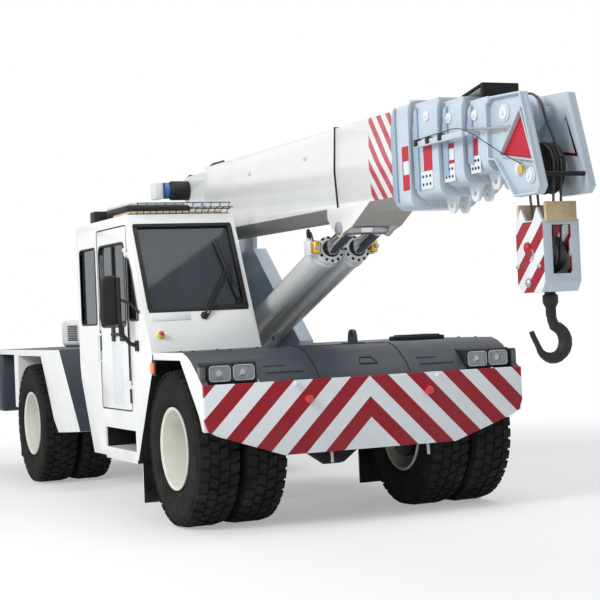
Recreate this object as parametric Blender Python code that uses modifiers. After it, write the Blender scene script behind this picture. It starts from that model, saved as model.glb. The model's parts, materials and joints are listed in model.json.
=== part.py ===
"""Articulated pick-and-carry mobile crane, modelled at full size.

The machine stands on the plane Z = 0 and faces +X, with +Y on its left.
Lengths are metres. Shapes are worked out in the axle frame, whose origin is
on the ground below the front axle, and the whole crane is then carried by one
empty to the middle of its own footprint.
"""
import math

import bmesh
import bpy
from mathutils import Matrix, Vector

# Running gap between solids that touch, and the gap round moving pieces
SEAT = 0.0003
RUNNING = 0.0003
CLEAR = 0.005

# Wheels and axles
WHEELBASE = 4.17
TYRE_RADIUS = 0.5625
TYRE_HALF_WIDTH = 0.1575
TYRE_BORE = 0.285
OUTER_TYRE_Y = 1.0825
TWIN_SPACING = 0.355
WHEEL_STEPS = 32
PIN_STEPS = 24
HUB_RADIUS = 0.11
AXLE_TUBE_RADIUS = 0.085
DIFFERENTIAL_RADIUS = 0.2
BRAKE_DRUM_RADIUS = 0.19

# Chassis
BODY_HALF_WIDTH = 1.243
BEAM_INNER = 0.30
BEAM_OUTER = 0.42
BEAM_BOTTOM = 0.72
BEAM_TOP = 1.10
FRONT_BEAM_REAR = -2.62
PIVOT_X = -2.90
PIVOT_PIN_RADIUS = 0.05
PIVOT_LUG_RADIUS = 0.15
PIVOT_LUG_THICKNESS = 0.06
PIVOT_LOWER = 0.50
PIVOT_UPPER = 1.04
REAR_BEAM_FRONT = -3.34
REAR_BEAM_REAR = -5.55
REAR_END = -5.85
REAR_HALF_WIDTH = 1.20
DECK_TOP = 1.25
DECK_SHEET = 0.05
BUMPER_FRONT = 0.7186
BUMPER_SHEET = 0.03
BUMPER_TOP = 1.03
BUMPER_BOTTOM = 0.52
BUMPER_FLAT_HALF = 0.67

# Steering cylinders, beside the chassis pivot
STEER_Z = 0.61
STEER_Y = 0.34
STEER_FRONT_REACH = 0.70
STEER_REAR_REACH = 0.30
STEER_BARREL_RADIUS = 0.05
STEER_ROD_RADIUS = 0.03
STEER_PIN_RADIUS = 0.03
STEER_EYE_RADIUS = 0.055
STEER_STROKE_HALF = 0.235
STEER_ROD_INNER = 0.30
STEER_BARREL_LENGTH = 0.60

# Boom, its pivot on the tower and its lift cylinders
BOOM_PIVOT = (-2.08, 2.33)
BOOM_BOTTOM = BOOM_PIVOT[1] - 0.18
BOOM_HEIGHT = 0.625
BOOM_TOP = BOOM_BOTTOM + BOOM_HEIGHT
BOOM_FOLD = BOOM_BOTTOM + 0.512 * BOOM_HEIGHT
BOOM_LOW = BOOM_BOTTOM + 0.112 * BOOM_HEIGHT
BOOM_PIN_RADIUS = 0.06
LIFT_BASE = (-1.885, 1.14)
LIFT_HEAD = (0.74, BOOM_BOTTOM - 0.078)
LIFT_Y = 0.105
LIFT_PIN_RADIUS = 0.05
LIFT_BARREL_RADIUS = 0.095
LIFT_BARREL_LENGTH = 2.40
LIFT_ROD_RADIUS = 0.055
LIFT_ROD_INNER = 0.80
LIFT_EYE_RADIUS = 0.045
TOWER_INNER = 0.215
TOWER_PLATE = 0.04
BOOM_SIDE = 0.205
BOOM_WALL = 0.010
STEP_SIDE = 0.025
STEP_TOP = 0.032
STEP_BOTTOM = 0.050
HEAD_PLATE_Y = 0.1305
HEAD_PLATE = 0.025
SHEAVE_RADIUS = 0.15
SHEAVE_WIDTH = 0.10
ROPE_RADIUS = 0.008
ROPE_SEAT = 0.0002
ROPE_STEPS = 32

# Hook block
HOOK_X = 3.12
MAIN_SHEAVE_Z = BOOM_BOTTOM + 0.10
BLOCK_SHEAVE_Z = MAIN_SHEAVE_Z - 0.49
BLOCK_TOP = MAIN_SHEAVE_Z - 0.30
BLOCK_BOTTOM = MAIN_SHEAVE_Z - 0.705
BLOCK_HALF_LENGTH = 0.145
BLOCK_HALF_WIDTH = 0.12
BLOCK_PLATE = 0.022
BLOCK_WINDOW = 0.062

# Cab
CAB_RIGHT = -BODY_HALF_WIDTH
CAB_LEFT = -0.37
CAB_WALL = 0.04
CAB_FLOOR = 0.84
CAB_ROOF = 2.26
ROOF_TOP = 2.305
CAB_REAR = -2.32
DOOR_REAR = -1.70
DOOR_FRONT = -0.90
DOOR_BOTTOM = 0.80
DOOR_TOP = 2.225
DOOR_HINGE = (-0.885, -1.257)
GLASS = 0.006

# Engine hood, hinged at its rear edge
HOOD_REAR = -5.50
HOOD_FRONT = -3.60
HOOD_HALF_WIDTH = 0.56
HOOD_TOP = 1.53

# Hoist winch on the boom's tail
WINCH = (BOOM_PIVOT[0] - 0.34, BOOM_PIVOT[1] + 0.29)
WINCH_PLATE_Y = 0.165
WINCH_PLATE = 0.02
WINCH_SHAFT = 0.045

SIDES = ((-1, "right"), (1, "left"))

FINISHES = {
    "white": ((0.86, 0.87, 0.86), 0.35, 0.0),
    "charcoal": ((0.075, 0.09, 0.12), 0.45, 0.0),
    "black": ((0.02, 0.02, 0.022), 0.55, 0.0),
    "rubber": ((0.022, 0.022, 0.023), 0.85, 0.0),
    "cream": ((0.82, 0.80, 0.72), 0.45, 0.0),
    "boom_grey": ((0.60, 0.68, 0.75), 0.40, 0.0),
    "chrome": ((0.75, 0.76, 0.78), 0.12, 1.0),
    "steel": ((0.35, 0.36, 0.37), 0.40, 0.9),
    "iron": ((0.05, 0.05, 0.055), 0.60, 0.3),
    "lamp": ((0.80, 0.84, 0.88), 0.10, 0.0),
    "red": ((0.65, 0.03, 0.05), 0.35, 0.0),
    "glass": ((0.10, 0.14, 0.20), 0.05, 0.0),
    "fabric": ((0.05, 0.05, 0.06), 0.90, 0.0),
}


def clear_scene():
    for old in list(bpy.data.objects):
        bpy.data.objects.remove(old, do_unlink=True)


def make_collection(name):
    group = bpy.data.collections.new(name)
    bpy.context.scene.collection.children.link(group)
    return group


def make_finish(key):
    colour, roughness, metallic = FINISHES[key]
    finish = bpy.data.materials.new(key)
    finish.use_nodes = True
    shader = finish.node_tree.nodes["Principled BSDF"]
    shader.inputs["Base Color"].default_value = (*colour, 1.0)
    shader.inputs["Roughness"].default_value = roughness
    shader.inputs["Metallic"].default_value = metallic
    return finish


clear_scene()
CRANE = make_collection("mobile_crane")
BENCH = make_collection("work_pieces")
MATERIALS = {key: make_finish(key) for key in FINISHES}

# A prism's outline is drawn flat and then turned so that it runs along an axis
PRISM_TURN = {
    "X": Matrix(((0, 0, 1, 0), (1, 0, 0, 0), (0, 1, 0, 0), (0, 0, 0, 1))),
    "Y": Matrix.Rotation(math.radians(90), 4, "X"),
    "Z": Matrix.Identity(4),
}
LATHE_TURN = {
    "X": Matrix.Rotation(math.radians(90), 4, "Y"),
    "Y": Matrix.Rotation(math.radians(-90), 4, "X"),
    "Z": Matrix.Identity(4),
}
AXIS_STEP = {"X": Vector((1, 0, 0)), "Y": Vector((0, 1, 0)), "Z": Vector((0, 0, 1))}


def piece_from_bmesh(shape, name="piece"):
    """Close a worked shape, point its faces outwards and put it on the bench."""
    bmesh.ops.remove_doubles(shape, verts=shape.verts, dist=0.00001)
    bmesh.ops.recalc_face_normals(shape, faces=shape.faces)
    mesh = bpy.data.meshes.new(name)
    shape.to_mesh(mesh)
    shape.free()
    piece = bpy.data.objects.new(name, mesh)
    BENCH.objects.link(piece)
    return piece


def piece_from_object(source, matrix):
    """Turn a curve, or an object with modifiers, into a plain closed piece."""
    bpy.context.view_layer.update()
    graph = bpy.context.evaluated_depsgraph_get()
    mesh = bpy.data.meshes.new_from_object(source.evaluated_get(graph))
    shape = bmesh.new()
    shape.from_mesh(mesh)
    bpy.data.meshes.remove(mesh)
    bpy.data.objects.remove(source, do_unlink=True)
    bmesh.ops.transform(shape, matrix=matrix, verts=shape.verts)
    return piece_from_bmesh(shape)


def box(low, high, bevel=0.0, segments=2):
    """A block between two corners, with its edges rounded by bevel."""
    shape = bmesh.new()
    bmesh.ops.create_cube(shape, size=1.0)
    size = [b - a for a, b in zip(low, high)]
    middle = Vector([(a + b) / 2 for a, b in zip(low, high)])
    bmesh.ops.scale(shape, vec=size, verts=shape.verts)
    bmesh.ops.translate(shape, vec=middle, verts=shape.verts)
    if bevel:
        bmesh.ops.bevel(shape, geom=shape.edges[:], offset=bevel, segments=segments,
                        profile=0.5, affect="EDGES")
    return piece_from_bmesh(shape)


def prism(loops, axis, low, high):
    """Flat outline, or outline and holes, extruded along an axis.

    Outline points are (x, z) for Y, (y, z) for X and (x, y) for Z.
    """
    if isinstance(loops[0][0], (int, float)):
        loops = [loops]
    data = bpy.data.curves.new("outline", "CURVE")
    data.dimensions = "2D"
    data.fill_mode = "BOTH"
    data.extrude = (high - low) / 2
    for loop in loops:
        spline = data.splines.new("POLY")
        spline.points.add(len(loop) - 1)
        for point, (u, v) in zip(spline.points, loop):
            point.co = (u, v, 0, 1)
        spline.use_cyclic_u = True
    source = bpy.data.objects.new("outline", data)
    BENCH.objects.link(source)
    shift = Matrix.Translation(AXIS_STEP[axis] * ((low + high) / 2))
    return piece_from_object(source, shift @ PRISM_TURN[axis])


def turned(profile, axis, centre, steps=24):
    """Solid of revolution from (radius, along) points, outer side first, top to bottom."""
    mesh = bpy.data.meshes.new("profile")
    count = len(profile)
    edges = [(i, i + 1) for i in range(count - 1)]
    if profile[0][0] > 0 and profile[-1][0] > 0:
        edges.append((count - 1, 0))
    mesh.from_pydata([(r, 0, z) for r, z in profile], edges, [])
    source = bpy.data.objects.new("profile", mesh)
    BENCH.objects.link(source)
    screw = source.modifiers.new("turn", "SCREW")
    screw.axis = "Z"
    screw.steps = steps
    screw.render_steps = steps
    screw.use_merge_vertices = True
    screw.merge_threshold = 0.0001
    return piece_from_object(source, Matrix.Translation(Vector(centre)) @ LATHE_TURN[axis])


def rod(start, end, radius, steps=16):
    """Plain round bar between two points."""
    start, end = Vector(start), Vector(end)
    shape = bmesh.new()
    bmesh.ops.create_cone(shape, cap_ends=True, segments=steps, radius1=radius,
                          radius2=radius, depth=(end - start).length)
    turn = (end - start).to_track_quat("Z", "Y").to_matrix().to_4x4()
    bmesh.ops.transform(shape, matrix=Matrix.Translation((start + end) / 2) @ turn,
                        verts=shape.verts)
    return piece_from_bmesh(shape)


def pin(start, end, radius):
    """Bar that turns or slides in a bore; its facets match the bore's."""
    return rod(start, end, radius, PIN_STEPS)


def bore(start, end, radius, steps=PIN_STEPS):
    """Cutter for a round hole whose flats clear a bar of this radius."""
    return rod(start, end, (radius + RUNNING) / math.cos(math.pi / steps), steps)


def round_hole(centre, radius, steps=PIN_STEPS):
    """Outline of a hole whose flats clear a bar of this radius."""
    wide = (radius + RUNNING) / math.cos(math.pi / steps)
    return arc(centre, wide, 0, 360 - 360 / steps, steps - 1)


def bent_bar(points, radius, cyclic=False, widths=None, resolution=1):
    """Round bar along a list of points, thicker or thinner by widths."""
    data = bpy.data.curves.new("bar", "CURVE")
    data.dimensions = "3D"
    data.bevel_depth = radius
    data.bevel_resolution = resolution
    data.use_fill_caps = True
    spline = data.splines.new("POLY")
    spline.points.add(len(points) - 1)
    for index, point in enumerate(spline.points):
        point.co = (*points[index], 1)
        if widths:
            point.radius = widths[index]
    spline.use_cyclic_u = cyclic
    source = bpy.data.objects.new("bar", data)
    BENCH.objects.link(source)
    return piece_from_object(source, Matrix.Identity(4))


def tilted(piece, pivot, slope):
    """Turn a piece about the Y line through pivot so that +X points up by slope."""
    centre = Matrix.Translation(Vector(pivot))
    turn = centre @ Matrix.Rotation(-slope, 4, "Y") @ centre.inverted()
    piece.data.transform(turn)
    return piece


def operand_group(name, pieces):
    group = bpy.data.collections.new(name)
    BENCH.children.link(group)
    for item in pieces:
        BENCH.objects.unlink(item)
        group.objects.link(item)
        item.display_type = "WIRE"
        item.hide_render = True
    return group


def boolean(target, pieces, operation):
    group = operand_group(operation, pieces)
    step = target.modifiers.new(operation, "BOOLEAN")
    step.operation = operation
    step.operand_type = "COLLECTION"
    step.collection = group
    step.solver = "EXACT"
    return group


def joined(solids, cuts=()):
    """Union of solids less the cuts, as one plain piece."""
    target = solids[0]
    used = []
    if len(solids) > 1:
        used.append(boolean(target, solids[1:], "UNION"))
    if cuts:
        used.append(boolean(target, list(cuts), "DIFFERENCE"))
    result = piece_from_object(target, Matrix.Identity(4))
    for group in used:
        for item in list(group.objects):
            bpy.data.objects.remove(item, do_unlink=True)
        bpy.data.collections.remove(group)
    return result


# Each body has an empty on its joint's axis; the root body's empty is the crane's own
FOOTPRINT_X = (REAR_END + HOOK_X + 0.245) / 2
MIRROR_OUTER = -1.515
FOOTPRINT_Y = (MIRROR_OUTER + BODY_HALF_WIDTH) / 2
CARRIERS = {}


def carrier(body, place=(0.0, 0.0, 0.0)):
    empty = bpy.data.objects.new("axis_" + body, None)
    empty.location = Vector(place) - Vector((FOOTPRINT_X, FOOTPRINT_Y, 0.0))
    CRANE.objects.link(empty)
    CARRIERS[body] = (empty, Vector(place))


def node(name, body, finish, solids, cuts=(), smooth=0.0):
    """Finish one sub-part and hang it on its body's empty."""
    piece = joined(solids, cuts) if len(solids) > 1 or cuts else solids[0]
    empty, place = CARRIERS[body]
    piece.data.transform(Matrix.Translation(-place))
    piece.name = name
    piece.data.name = name
    piece.data.materials.clear()
    piece.data.materials.append(MATERIALS[finish])
    if smooth:
        piece.data.shade_smooth()
        piece.data.set_sharp_from_angle(angle=math.radians(smooth))
    BENCH.objects.unlink(piece)
    CRANE.objects.link(piece)
    piece.parent = empty
    return piece


def arc(centre, radius, start, end, count):
    """Points on an arc in a plane, angles in degrees."""
    turns = [math.radians(start + (end - start) * i / count) for i in range(count + 1)]
    return [(centre[0] + radius * math.cos(a), centre[1] + radius * math.sin(a))
            for a in turns]


HUB_INNER_W = -0.235
AXLE_END = OUTER_TYRE_Y + HUB_INNER_W - RUNNING


def make_wheel(axle_x, axle, side, label):
    """Twin tyres on one two-dish rim, outer tyre centred at OUTER_TYRE_Y."""
    body = f"{axle}_wheel_{label}"
    carrier(body, (axle_x, side * OUTER_TYRE_Y, TYRE_RADIUS))
    half = TYRE_HALF_WIDTH
    # radius, distance from the tyre's middle plane
    half_profile = ((TYRE_BORE, 0.128), (0.42, half), (0.522, half - 0.012),
                    (TYRE_RADIUS, half - 0.05))
    profile = list(half_profile) + [(r, -w) for r, w in reversed(half_profile)]
    for place, shift in (("outer", 0.0), ("inner", -TWIN_SPACING)):
        centre = (axle_x, side * (OUTER_TYRE_Y + shift), TYRE_RADIUS)
        tyre = turned(profile, "Y", centre, WHEEL_STEPS)
        node(f"{axle}_tyre_{label}_{place}", body, "rubber", [tyre], smooth=40)
    barrel = TYRE_BORE - SEAT
    inner = barrel - 0.013
    edge = 0.145
    rim = [(0.0, 0.03), (HUB_RADIUS - 0.02, 0.03), (HUB_RADIUS, -0.165), (inner, -0.165),
           (inner, edge), (barrel, edge), (barrel, -TWIN_SPACING - edge),
           (inner, -TWIN_SPACING - edge), (inner, -0.19), (HUB_RADIUS, -0.19),
           (HUB_RADIUS, HUB_INNER_W), (0.0, HUB_INNER_W)]
    rim = [(r, side * w) for r, w in rim]
    if side < 0:
        rim.reverse()
    centre = (axle_x, side * OUTER_TYRE_Y, TYRE_RADIUS)
    node(f"{axle}_rim_{label}", body, "cream", [turned(rim, "Y", centre, WHEEL_STEPS)],
         smooth=40)


def make_axle(axle_x, axle, body):
    """Drive axle: differential housing, tubes and brake drums, with seats for the beams."""
    drum = 0.60
    profile = [(0.0, AXLE_END), (0.12, AXLE_END), (BRAKE_DRUM_RADIUS, AXLE_END - 0.03),
               (BRAKE_DRUM_RADIUS, drum), (AXLE_TUBE_RADIUS, drum - 0.03),
               (AXLE_TUBE_RADIUS, 0.24), (DIFFERENTIAL_RADIUS, 0.07)]
    profile += [(r, -w) for r, w in reversed(profile)]
    shaft = turned(profile, "Y", (axle_x, 0, TYRE_RADIUS), 16)
    seats = [box((axle_x - 0.09, min(s * BEAM_INNER, s * BEAM_OUTER), TYRE_RADIUS),
                 (axle_x + 0.09, max(s * BEAM_INNER, s * BEAM_OUTER), BEAM_BOTTOM - SEAT))
             for s, _ in SIDES]
    node(f"{axle}_axle", body, "black", [shaft] + seats, smooth=40)


def beams(front, rear):
    return [box((rear, min(s * BEAM_INNER, s * BEAM_OUTER), BEAM_BOTTOM),
                (front, max(s * BEAM_INNER, s * BEAM_OUTER), BEAM_TOP))
            for s, _ in SIDES]


def make_front_frame():
    """Front half of the chassis, with the fork and pin of the steering pivot."""
    rear = FRONT_BEAM_REAR
    front = BUMPER_FRONT - BUMPER_SHEET - SEAT
    solids = beams(front, rear)
    solids.append(box((front - 0.08, -BEAM_OUTER, BEAM_BOTTOM), (front, BEAM_OUTER, 1.02)))
    solids.append(box((-0.76, -BEAM_INNER - 0.02, 0.84), (-0.68, BEAM_INNER + 0.02, 1.02)))
    solids.append(box((rear, -BEAM_OUTER, BEAM_BOTTOM), (rear + 0.08, BEAM_OUTER, BEAM_TOP)))
    solids.append(box((rear, -0.18, PIVOT_LOWER), (rear + 0.08, 0.18, BEAM_BOTTOM + 0.05)))
    fork = [(rear + 0.05, 0.20), *arc((PIVOT_X, 0), PIVOT_LUG_RADIUS, 60, 300, 12),
            (rear + 0.05, -0.20)]
    for low in (PIVOT_LOWER, PIVOT_UPPER):
        solids.append(prism(fork, "Z", low, low + PIVOT_LUG_THICKNESS))
    solids.append(pin((PIVOT_X, 0, PIVOT_LOWER - 0.02),
                      (PIVOT_X, 0, PIVOT_UPPER + PIVOT_LUG_THICKNESS + 0.02), PIVOT_PIN_RADIUS))
    for s, _ in SIDES:
        place = (PIVOT_X + STEER_FRONT_REACH, s * STEER_Y)
        eye_half = 0.03
        solids.append(pin((*place, STEER_Z - eye_half - 0.02), (*place, BEAM_BOTTOM + 0.02),
                          STEER_PIN_RADIUS))
        solids.append(rod((*place, STEER_Z - eye_half - 0.03),
                          (*place, STEER_Z - eye_half - CLEAR), STEER_PIN_RADIUS + 0.012))
    pads = ((-0.62, -0.50), (-2.20, -2.08))
    for rear_x, front_x in pads:
        solids.append(box((rear_x, -BEAM_OUTER, BEAM_TOP - 0.01),
                          (front_x, CAB_LEFT + 0.005, 1.12 - SEAT)))
    nose_room = prism([(0.36, 1.2), (0.36, BEAM_TOP - 0.01), (0.60, 0.95), (0.80, 0.95), (0.80, 1.2)],
                      "Y", -0.5, 0.5)
    node("front_frame", "front_chassis", "charcoal", solids, [nose_room])


def make_rear_frame():
    """Rear half of the chassis, with the pivot's eyes and the steering brackets."""
    front = REAR_BEAM_FRONT
    solids = beams(front, REAR_BEAM_REAR)
    solids.append(box((front - 0.08, -BEAM_OUTER, 0.52), (front, BEAM_OUTER, BEAM_TOP)))
    solids.append(box((REAR_BEAM_REAR, -BEAM_OUTER, BEAM_BOTTOM),
                      (REAR_BEAM_REAR + 0.08, BEAM_OUTER, BEAM_TOP)))
    eye = [(front - 0.03, -0.19), *arc((PIVOT_X, 0), PIVOT_LUG_RADIUS - 0.005, -120, 120, 12),
           (front - 0.03, 0.19)]
    hole = round_hole((PIVOT_X, 0), PIVOT_PIN_RADIUS)
    lows = (PIVOT_LOWER + PIVOT_LUG_THICKNESS + CLEAR,
            PIVOT_UPPER - PIVOT_LUG_THICKNESS - CLEAR)
    for low in lows:
        solids.append(prism([eye, hole], "Z", low, low + PIVOT_LUG_THICKNESS))
    eye_half = 0.03
    for s, _ in SIDES:
        place = (PIVOT_X - STEER_REAR_REACH, s * STEER_Y)
        tongue = [(front - 0.03, place[1] - 0.07), *arc(place, STEER_EYE_RADIUS, -75, 75, 6),
                  (front - 0.03, place[1] + 0.07)]
        for low in (STEER_Z + eye_half + CLEAR, STEER_Z - eye_half - CLEAR - 0.03):
            solids.append(prism(tongue, "Z", low, low + 0.03))
    node("rear_frame", "rear_chassis", "charcoal", solids)


def make_steering_cylinders():
    """Two cylinders between the halves; each rod's eye is the opened end of its linkage."""
    eye_half = 0.03
    low, high = STEER_Z - eye_half, STEER_Z + eye_half
    length = STEER_FRONT_REACH + STEER_REAR_REACH
    gland = STEER_BARREL_LENGTH
    x0 = PIVOT_X + STEER_FRONT_REACH
    for s, label in SIDES:
        y = s * STEER_Y
        carrier(f"steer_barrel_{label}", (x0, y, STEER_Z))
        eye = rod((x0, y, low), (x0, y, high), STEER_EYE_RADIUS)
        tube = rod((x0 - 0.045, y, STEER_Z), (x0 - gland, y, STEER_Z), STEER_BARREL_RADIUS)
        cuts = [bore((x0, y, low - 0.1), (x0, y, high + 0.1), STEER_PIN_RADIUS),
                bore((x0 - 0.06, y, STEER_Z), (x0 - gland - 0.1, y, STEER_Z), STEER_ROD_RADIUS),
                box((x0 - 0.08, y - 0.1, high), (x0 + 0.1, y + 0.1, high + 0.1)),
                box((x0 - 0.08, y - 0.1, low - 0.1), (x0 + 0.1, y + 0.1, low))]
        node(f"steering_barrel_{label}", f"steer_barrel_{label}", "black", [eye, tube], cuts,
             smooth=40)
        end = x0 - length
        carrier(f"steer_rod_{label}", (end, y, STEER_Z))
        bar = pin((x0 - STEER_ROD_INNER, y, STEER_Z), (end + 0.02, y, STEER_Z), STEER_ROD_RADIUS)
        knuckle = rod((end, y, low), (end, y, high), STEER_EYE_RADIUS)
        node(f"steering_rod_{label}", f"steer_rod_{label}", "chrome", [knuckle, bar], smooth=40)


def make_tower():
    """Two leaning plates with the boom's pin and the lift cylinders' base pin."""
    px, pz = BOOM_PIVOT
    outline = [(-1.00, 1.105), (-1.00, 1.27), (-1.93, 2.07),
               *arc(BOOM_PIVOT, 0.17, -10, 180, 10), (-2.26, 2.10), (-2.30, 1.105)]
    solids = []
    for s, _ in SIDES:
        inner, outer = s * TOWER_INNER, s * (TOWER_INNER + TOWER_PLATE)
        solids.append(prism(outline, "Y", min(inner, outer), max(inner, outer)))
        flange = [(-1.00, 1.13), (-1.00, 1.27), (-1.93, 2.07), (-1.945, 2.055), (-1.02, 1.258),
                  (-1.02, 1.13)]
        solids.append(prism(flange, "Y", *sorted((inner, s * (TOWER_INNER + 0.12)))))
        edge = s * (-CAB_LEFT - 0.01)
        solids.append(box((-2.30, min(inner, edge), BEAM_TOP + SEAT),
                          (-1.00, max(inner, edge), BEAM_TOP + 0.035)))
    web = TOWER_INNER + 0.01
    solids.append(box((-2.295, -web, 1.12), (-2.265, web, 2.05)))
    solids.append(rod((-1.08, -web, 1.165), (-1.08, web, 1.165), 0.035))
    solids.append(pin((LIFT_BASE[0], -web, LIFT_BASE[1]), (LIFT_BASE[0], web, LIFT_BASE[1]),
                      LIFT_PIN_RADIUS))
    solids.append(pin((px, -web - 0.04, pz), (px, web + 0.04, pz), BOOM_PIN_RADIUS))
    node("boom_tower", "front_chassis", "boom_grey", solids)


def lift_frame():
    dx = LIFT_HEAD[0] - LIFT_BASE[0]
    dz = LIFT_HEAD[1] - LIFT_BASE[1]
    return math.hypot(dx, dz), math.atan2(dz, dx)


def make_lift_cylinders():
    """Twin boom cylinders, drawn level along +X from the base pin and then tilted."""
    length, slope = lift_frame()
    bx, bz = LIFT_BASE
    carrier("lift_barrels", (bx, 0, bz))
    carrier("lift_rods", (LIFT_HEAD[0], 0, LIFT_HEAD[1]))
    reach = LIFT_Y + 0.08
    barrels = [rod((bx, -reach, bz), (bx, reach, bz), 0.09)]
    bores = [bore((bx, -reach - 0.1, bz), (bx, reach + 0.1, bz), LIFT_PIN_RADIUS)]
    end = bx + length
    rods = [rod((end, -LIFT_Y - 0.06, bz), (end, LIFT_Y + 0.06, bz), LIFT_EYE_RADIUS)]
    for s, _ in SIDES:
        y = s * LIFT_Y
        barrels.append(turned([(0.0, LIFT_BARREL_LENGTH), (0.102, LIFT_BARREL_LENGTH),
                               (0.102, LIFT_BARREL_LENGTH - 0.06),
                               (LIFT_BARREL_RADIUS, LIFT_BARREL_LENGTH - 0.06),
                               (LIFT_BARREL_RADIUS, 0.12), (0.07, 0.05), (0.0, 0.05)],
                              "X", (bx, y, bz), 20))
        bores.append(bore((bx + 0.20, y, bz), (bx + LIFT_BARREL_LENGTH + 0.1, y, bz),
                          LIFT_ROD_RADIUS))
        rods.append(pin((bx + LIFT_ROD_INNER, y, bz), (end - 0.02, y, bz), LIFT_ROD_RADIUS))
    pivot = (bx, 0, bz)
    node("lift_barrels", "lift_barrels", "white", [tilted(joined(barrels, bores), pivot, slope)],
         smooth=40)
    node("lift_rods", "lift_rods", "chrome", [tilted(joined(rods), pivot, slope)], smooth=40)


def boom_outline(step, grow=0.0):
    """Six-sided boom section, step sizes in from the base section, as (y, z) points."""
    side = BOOM_SIDE - step * STEP_SIDE + grow
    top = BOOM_TOP - step * STEP_TOP + grow
    bottom = BOOM_BOTTOM + step * STEP_BOTTOM - grow
    low = BOOM_LOW + step * STEP_BOTTOM - grow * 0.6
    shoulder = 0.015
    half = [(side - shoulder, top), (side, BOOM_FOLD), (side - shoulder, low),
            (side - 0.115, bottom)]
    return [(-y, z) for y, z in half] + list(reversed(half))


# Telescopic sections: body, rear end, mouth, collar start, collar end
SECTIONS = (
    ("boom", -1.95, 1.91, 1.71, 1.93),
    ("boom_second", -1.70, 2.24, 1.965, 2.27),
    ("boom_third", -1.60, 2.50, 2.305, 2.53),
    ("boom_fly", -1.50, 2.86, 2.565, 2.77),
)


def make_section(step):
    body, rear, mouth, collar_rear, collar_front = SECTIONS[step]
    shell = prism([boom_outline(step), boom_outline(step, -BOOM_WALL)], "X", rear, mouth)
    collar = prism([boom_outline(step, 0.032), boom_outline(step, -BOOM_WALL)], "X",
                   collar_rear, collar_front)
    solids = [shell, collar]
    if step < 3:
        inner_bottom = BOOM_BOTTOM + (step + 1) * STEP_BOTTOM
        floor = BOOM_BOTTOM + step * STEP_BOTTOM + BOOM_WALL
        solids.append(box((mouth - 0.20, -0.05, floor - 0.005),
                          (mouth, 0.05, inner_bottom - RUNNING)))
    return solids


def make_boom():
    px, pz = BOOM_PIVOT
    carrier("boom", (px, 0, pz))
    solids = make_section(0)
    tail = [(-1.70, pz + 0.27), (-2.02, pz + 0.13), *arc(BOOM_PIVOT, 0.13, 90, 270, 8),
            (-1.70, pz - 0.11)]
    hole = round_hole(BOOM_PIVOT, BOOM_PIN_RADIUS)
    wx, wz = WINCH
    shaft = round_hole(WINCH, WINCH_SHAFT)
    bracket = [(-1.75, wz - 0.12), (-1.75, wz + 0.12), (wx - 0.06, wz + 0.12), (wx - 0.13, wz),
               (wx - 0.06, wz - 0.12), (wx + 0.10, wz - 0.18)]
    for s, _ in SIDES:
        inner, outer = s * 0.15, s * 0.195
        solids.append(prism([tail, hole], "Y", min(inner, outer), max(inner, outer)))
        inner, outer = s * WINCH_PLATE_Y, s * (WINCH_PLATE_Y + WINCH_PLATE)
        loops = [bracket, shaft] if s < 0 else [bracket]
        solids.append(prism(loops, "Y", min(inner, outer), max(inner, outer)))
        inner, outer = s * 0.175, s * 0.1975
        solids.append(box((-1.945, min(inner, outer), wz - 0.10),
                          (-1.76, max(inner, outer), wz + 0.10)))
    hx, hz = LIFT_HEAD
    haunch = [(hx - 0.20, BOOM_BOTTOM), (hx - 0.10, hz - 0.02), *arc(LIFT_HEAD, 0.062, 215, 325, 6),
              (hx + 0.20, hz), (1.25, BOOM_BOTTOM + 0.075), (hx - 0.20, BOOM_BOTTOM + 0.075)]
    apron = [(hx + 0.185, hz + 0.005), (hx + 0.20, hz), (1.25, BOOM_BOTTOM + 0.075),
             (1.22, BOOM_BOTTOM + 0.075)]
    inside = prism(boom_outline(0, -BOOM_WALL / 2), "X", 0.5, 1.6)
    solids.append(joined([prism(apron, "Y", -0.18, 0.18)], [inside]))
    for s, _ in SIDES:
        inner, outer = s * 0.172, s * 0.192
        solids.append(prism(haunch, "Y", min(inner, outer), max(inner, outer)))
    node("boom_base", "boom", "white", solids)
    for step in (1, 2, 3):
        body, rear, mouth, _, _ = SECTIONS[step]
        carrier(body, (mouth, 0, BOOM_FOLD))
        if step < 3:
            node(f"boom_section_{step + 1}", body, "boom_grey", make_section(step))
    node("boom_section_4", "boom_fly", "boom_grey", make_section(3))


def make_head():
    """Boom head: two side plates, a bulkhead on the fly section and two sheaves on pins."""
    main = (HOOK_X, MAIN_SHEAVE_Z)
    upper = (HOOK_X - 0.135, MAIN_SHEAVE_Z + 0.335)
    x, z = main
    plate = [(x - 0.32, z + 0.41), (x - 0.26, z + 0.445), (x + 0.07, z + 0.43), (x + 0.24, z - 0.12),
             (x + 0.20, z - 0.16), (x - 0.04, z - 0.16), (x - 0.24, z + 0.07), (x - 0.32, z + 0.08)]
    window = [(x + 0.045, z + 0.30), (x + 0.155, z + 0.05), (x - 0.075, z + 0.085)]
    solids = []
    for s, _ in SIDES:
        inner, outer = s * HEAD_PLATE_Y, s * (HEAD_PLATE_Y + HEAD_PLATE)
        solids.append(prism([plate, window], "Y", min(inner, outer), max(inner, outer)))
    reach = HEAD_PLATE_Y + 0.005
    solids.append(box((x - 0.2597, -reach, z + 0.11), (x - 0.23, reach, z + 0.41)))
    for px, pz in (upper, main):
        solids.append(rod((px, -reach - 0.04, pz), (px, reach + 0.04, pz), 0.04))
    solids.append(make_sheave((upper[0], 0, upper[1]), 0.105, 0.03))
    node("boom_head", "boom_fly", "boom_grey", solids)
    node("head_sheave", "boom_fly", "iron", [make_sheave((main[0], 0, main[1]), SHEAVE_RADIUS, steps=ROPE_STEPS)],
         smooth=40)


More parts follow.
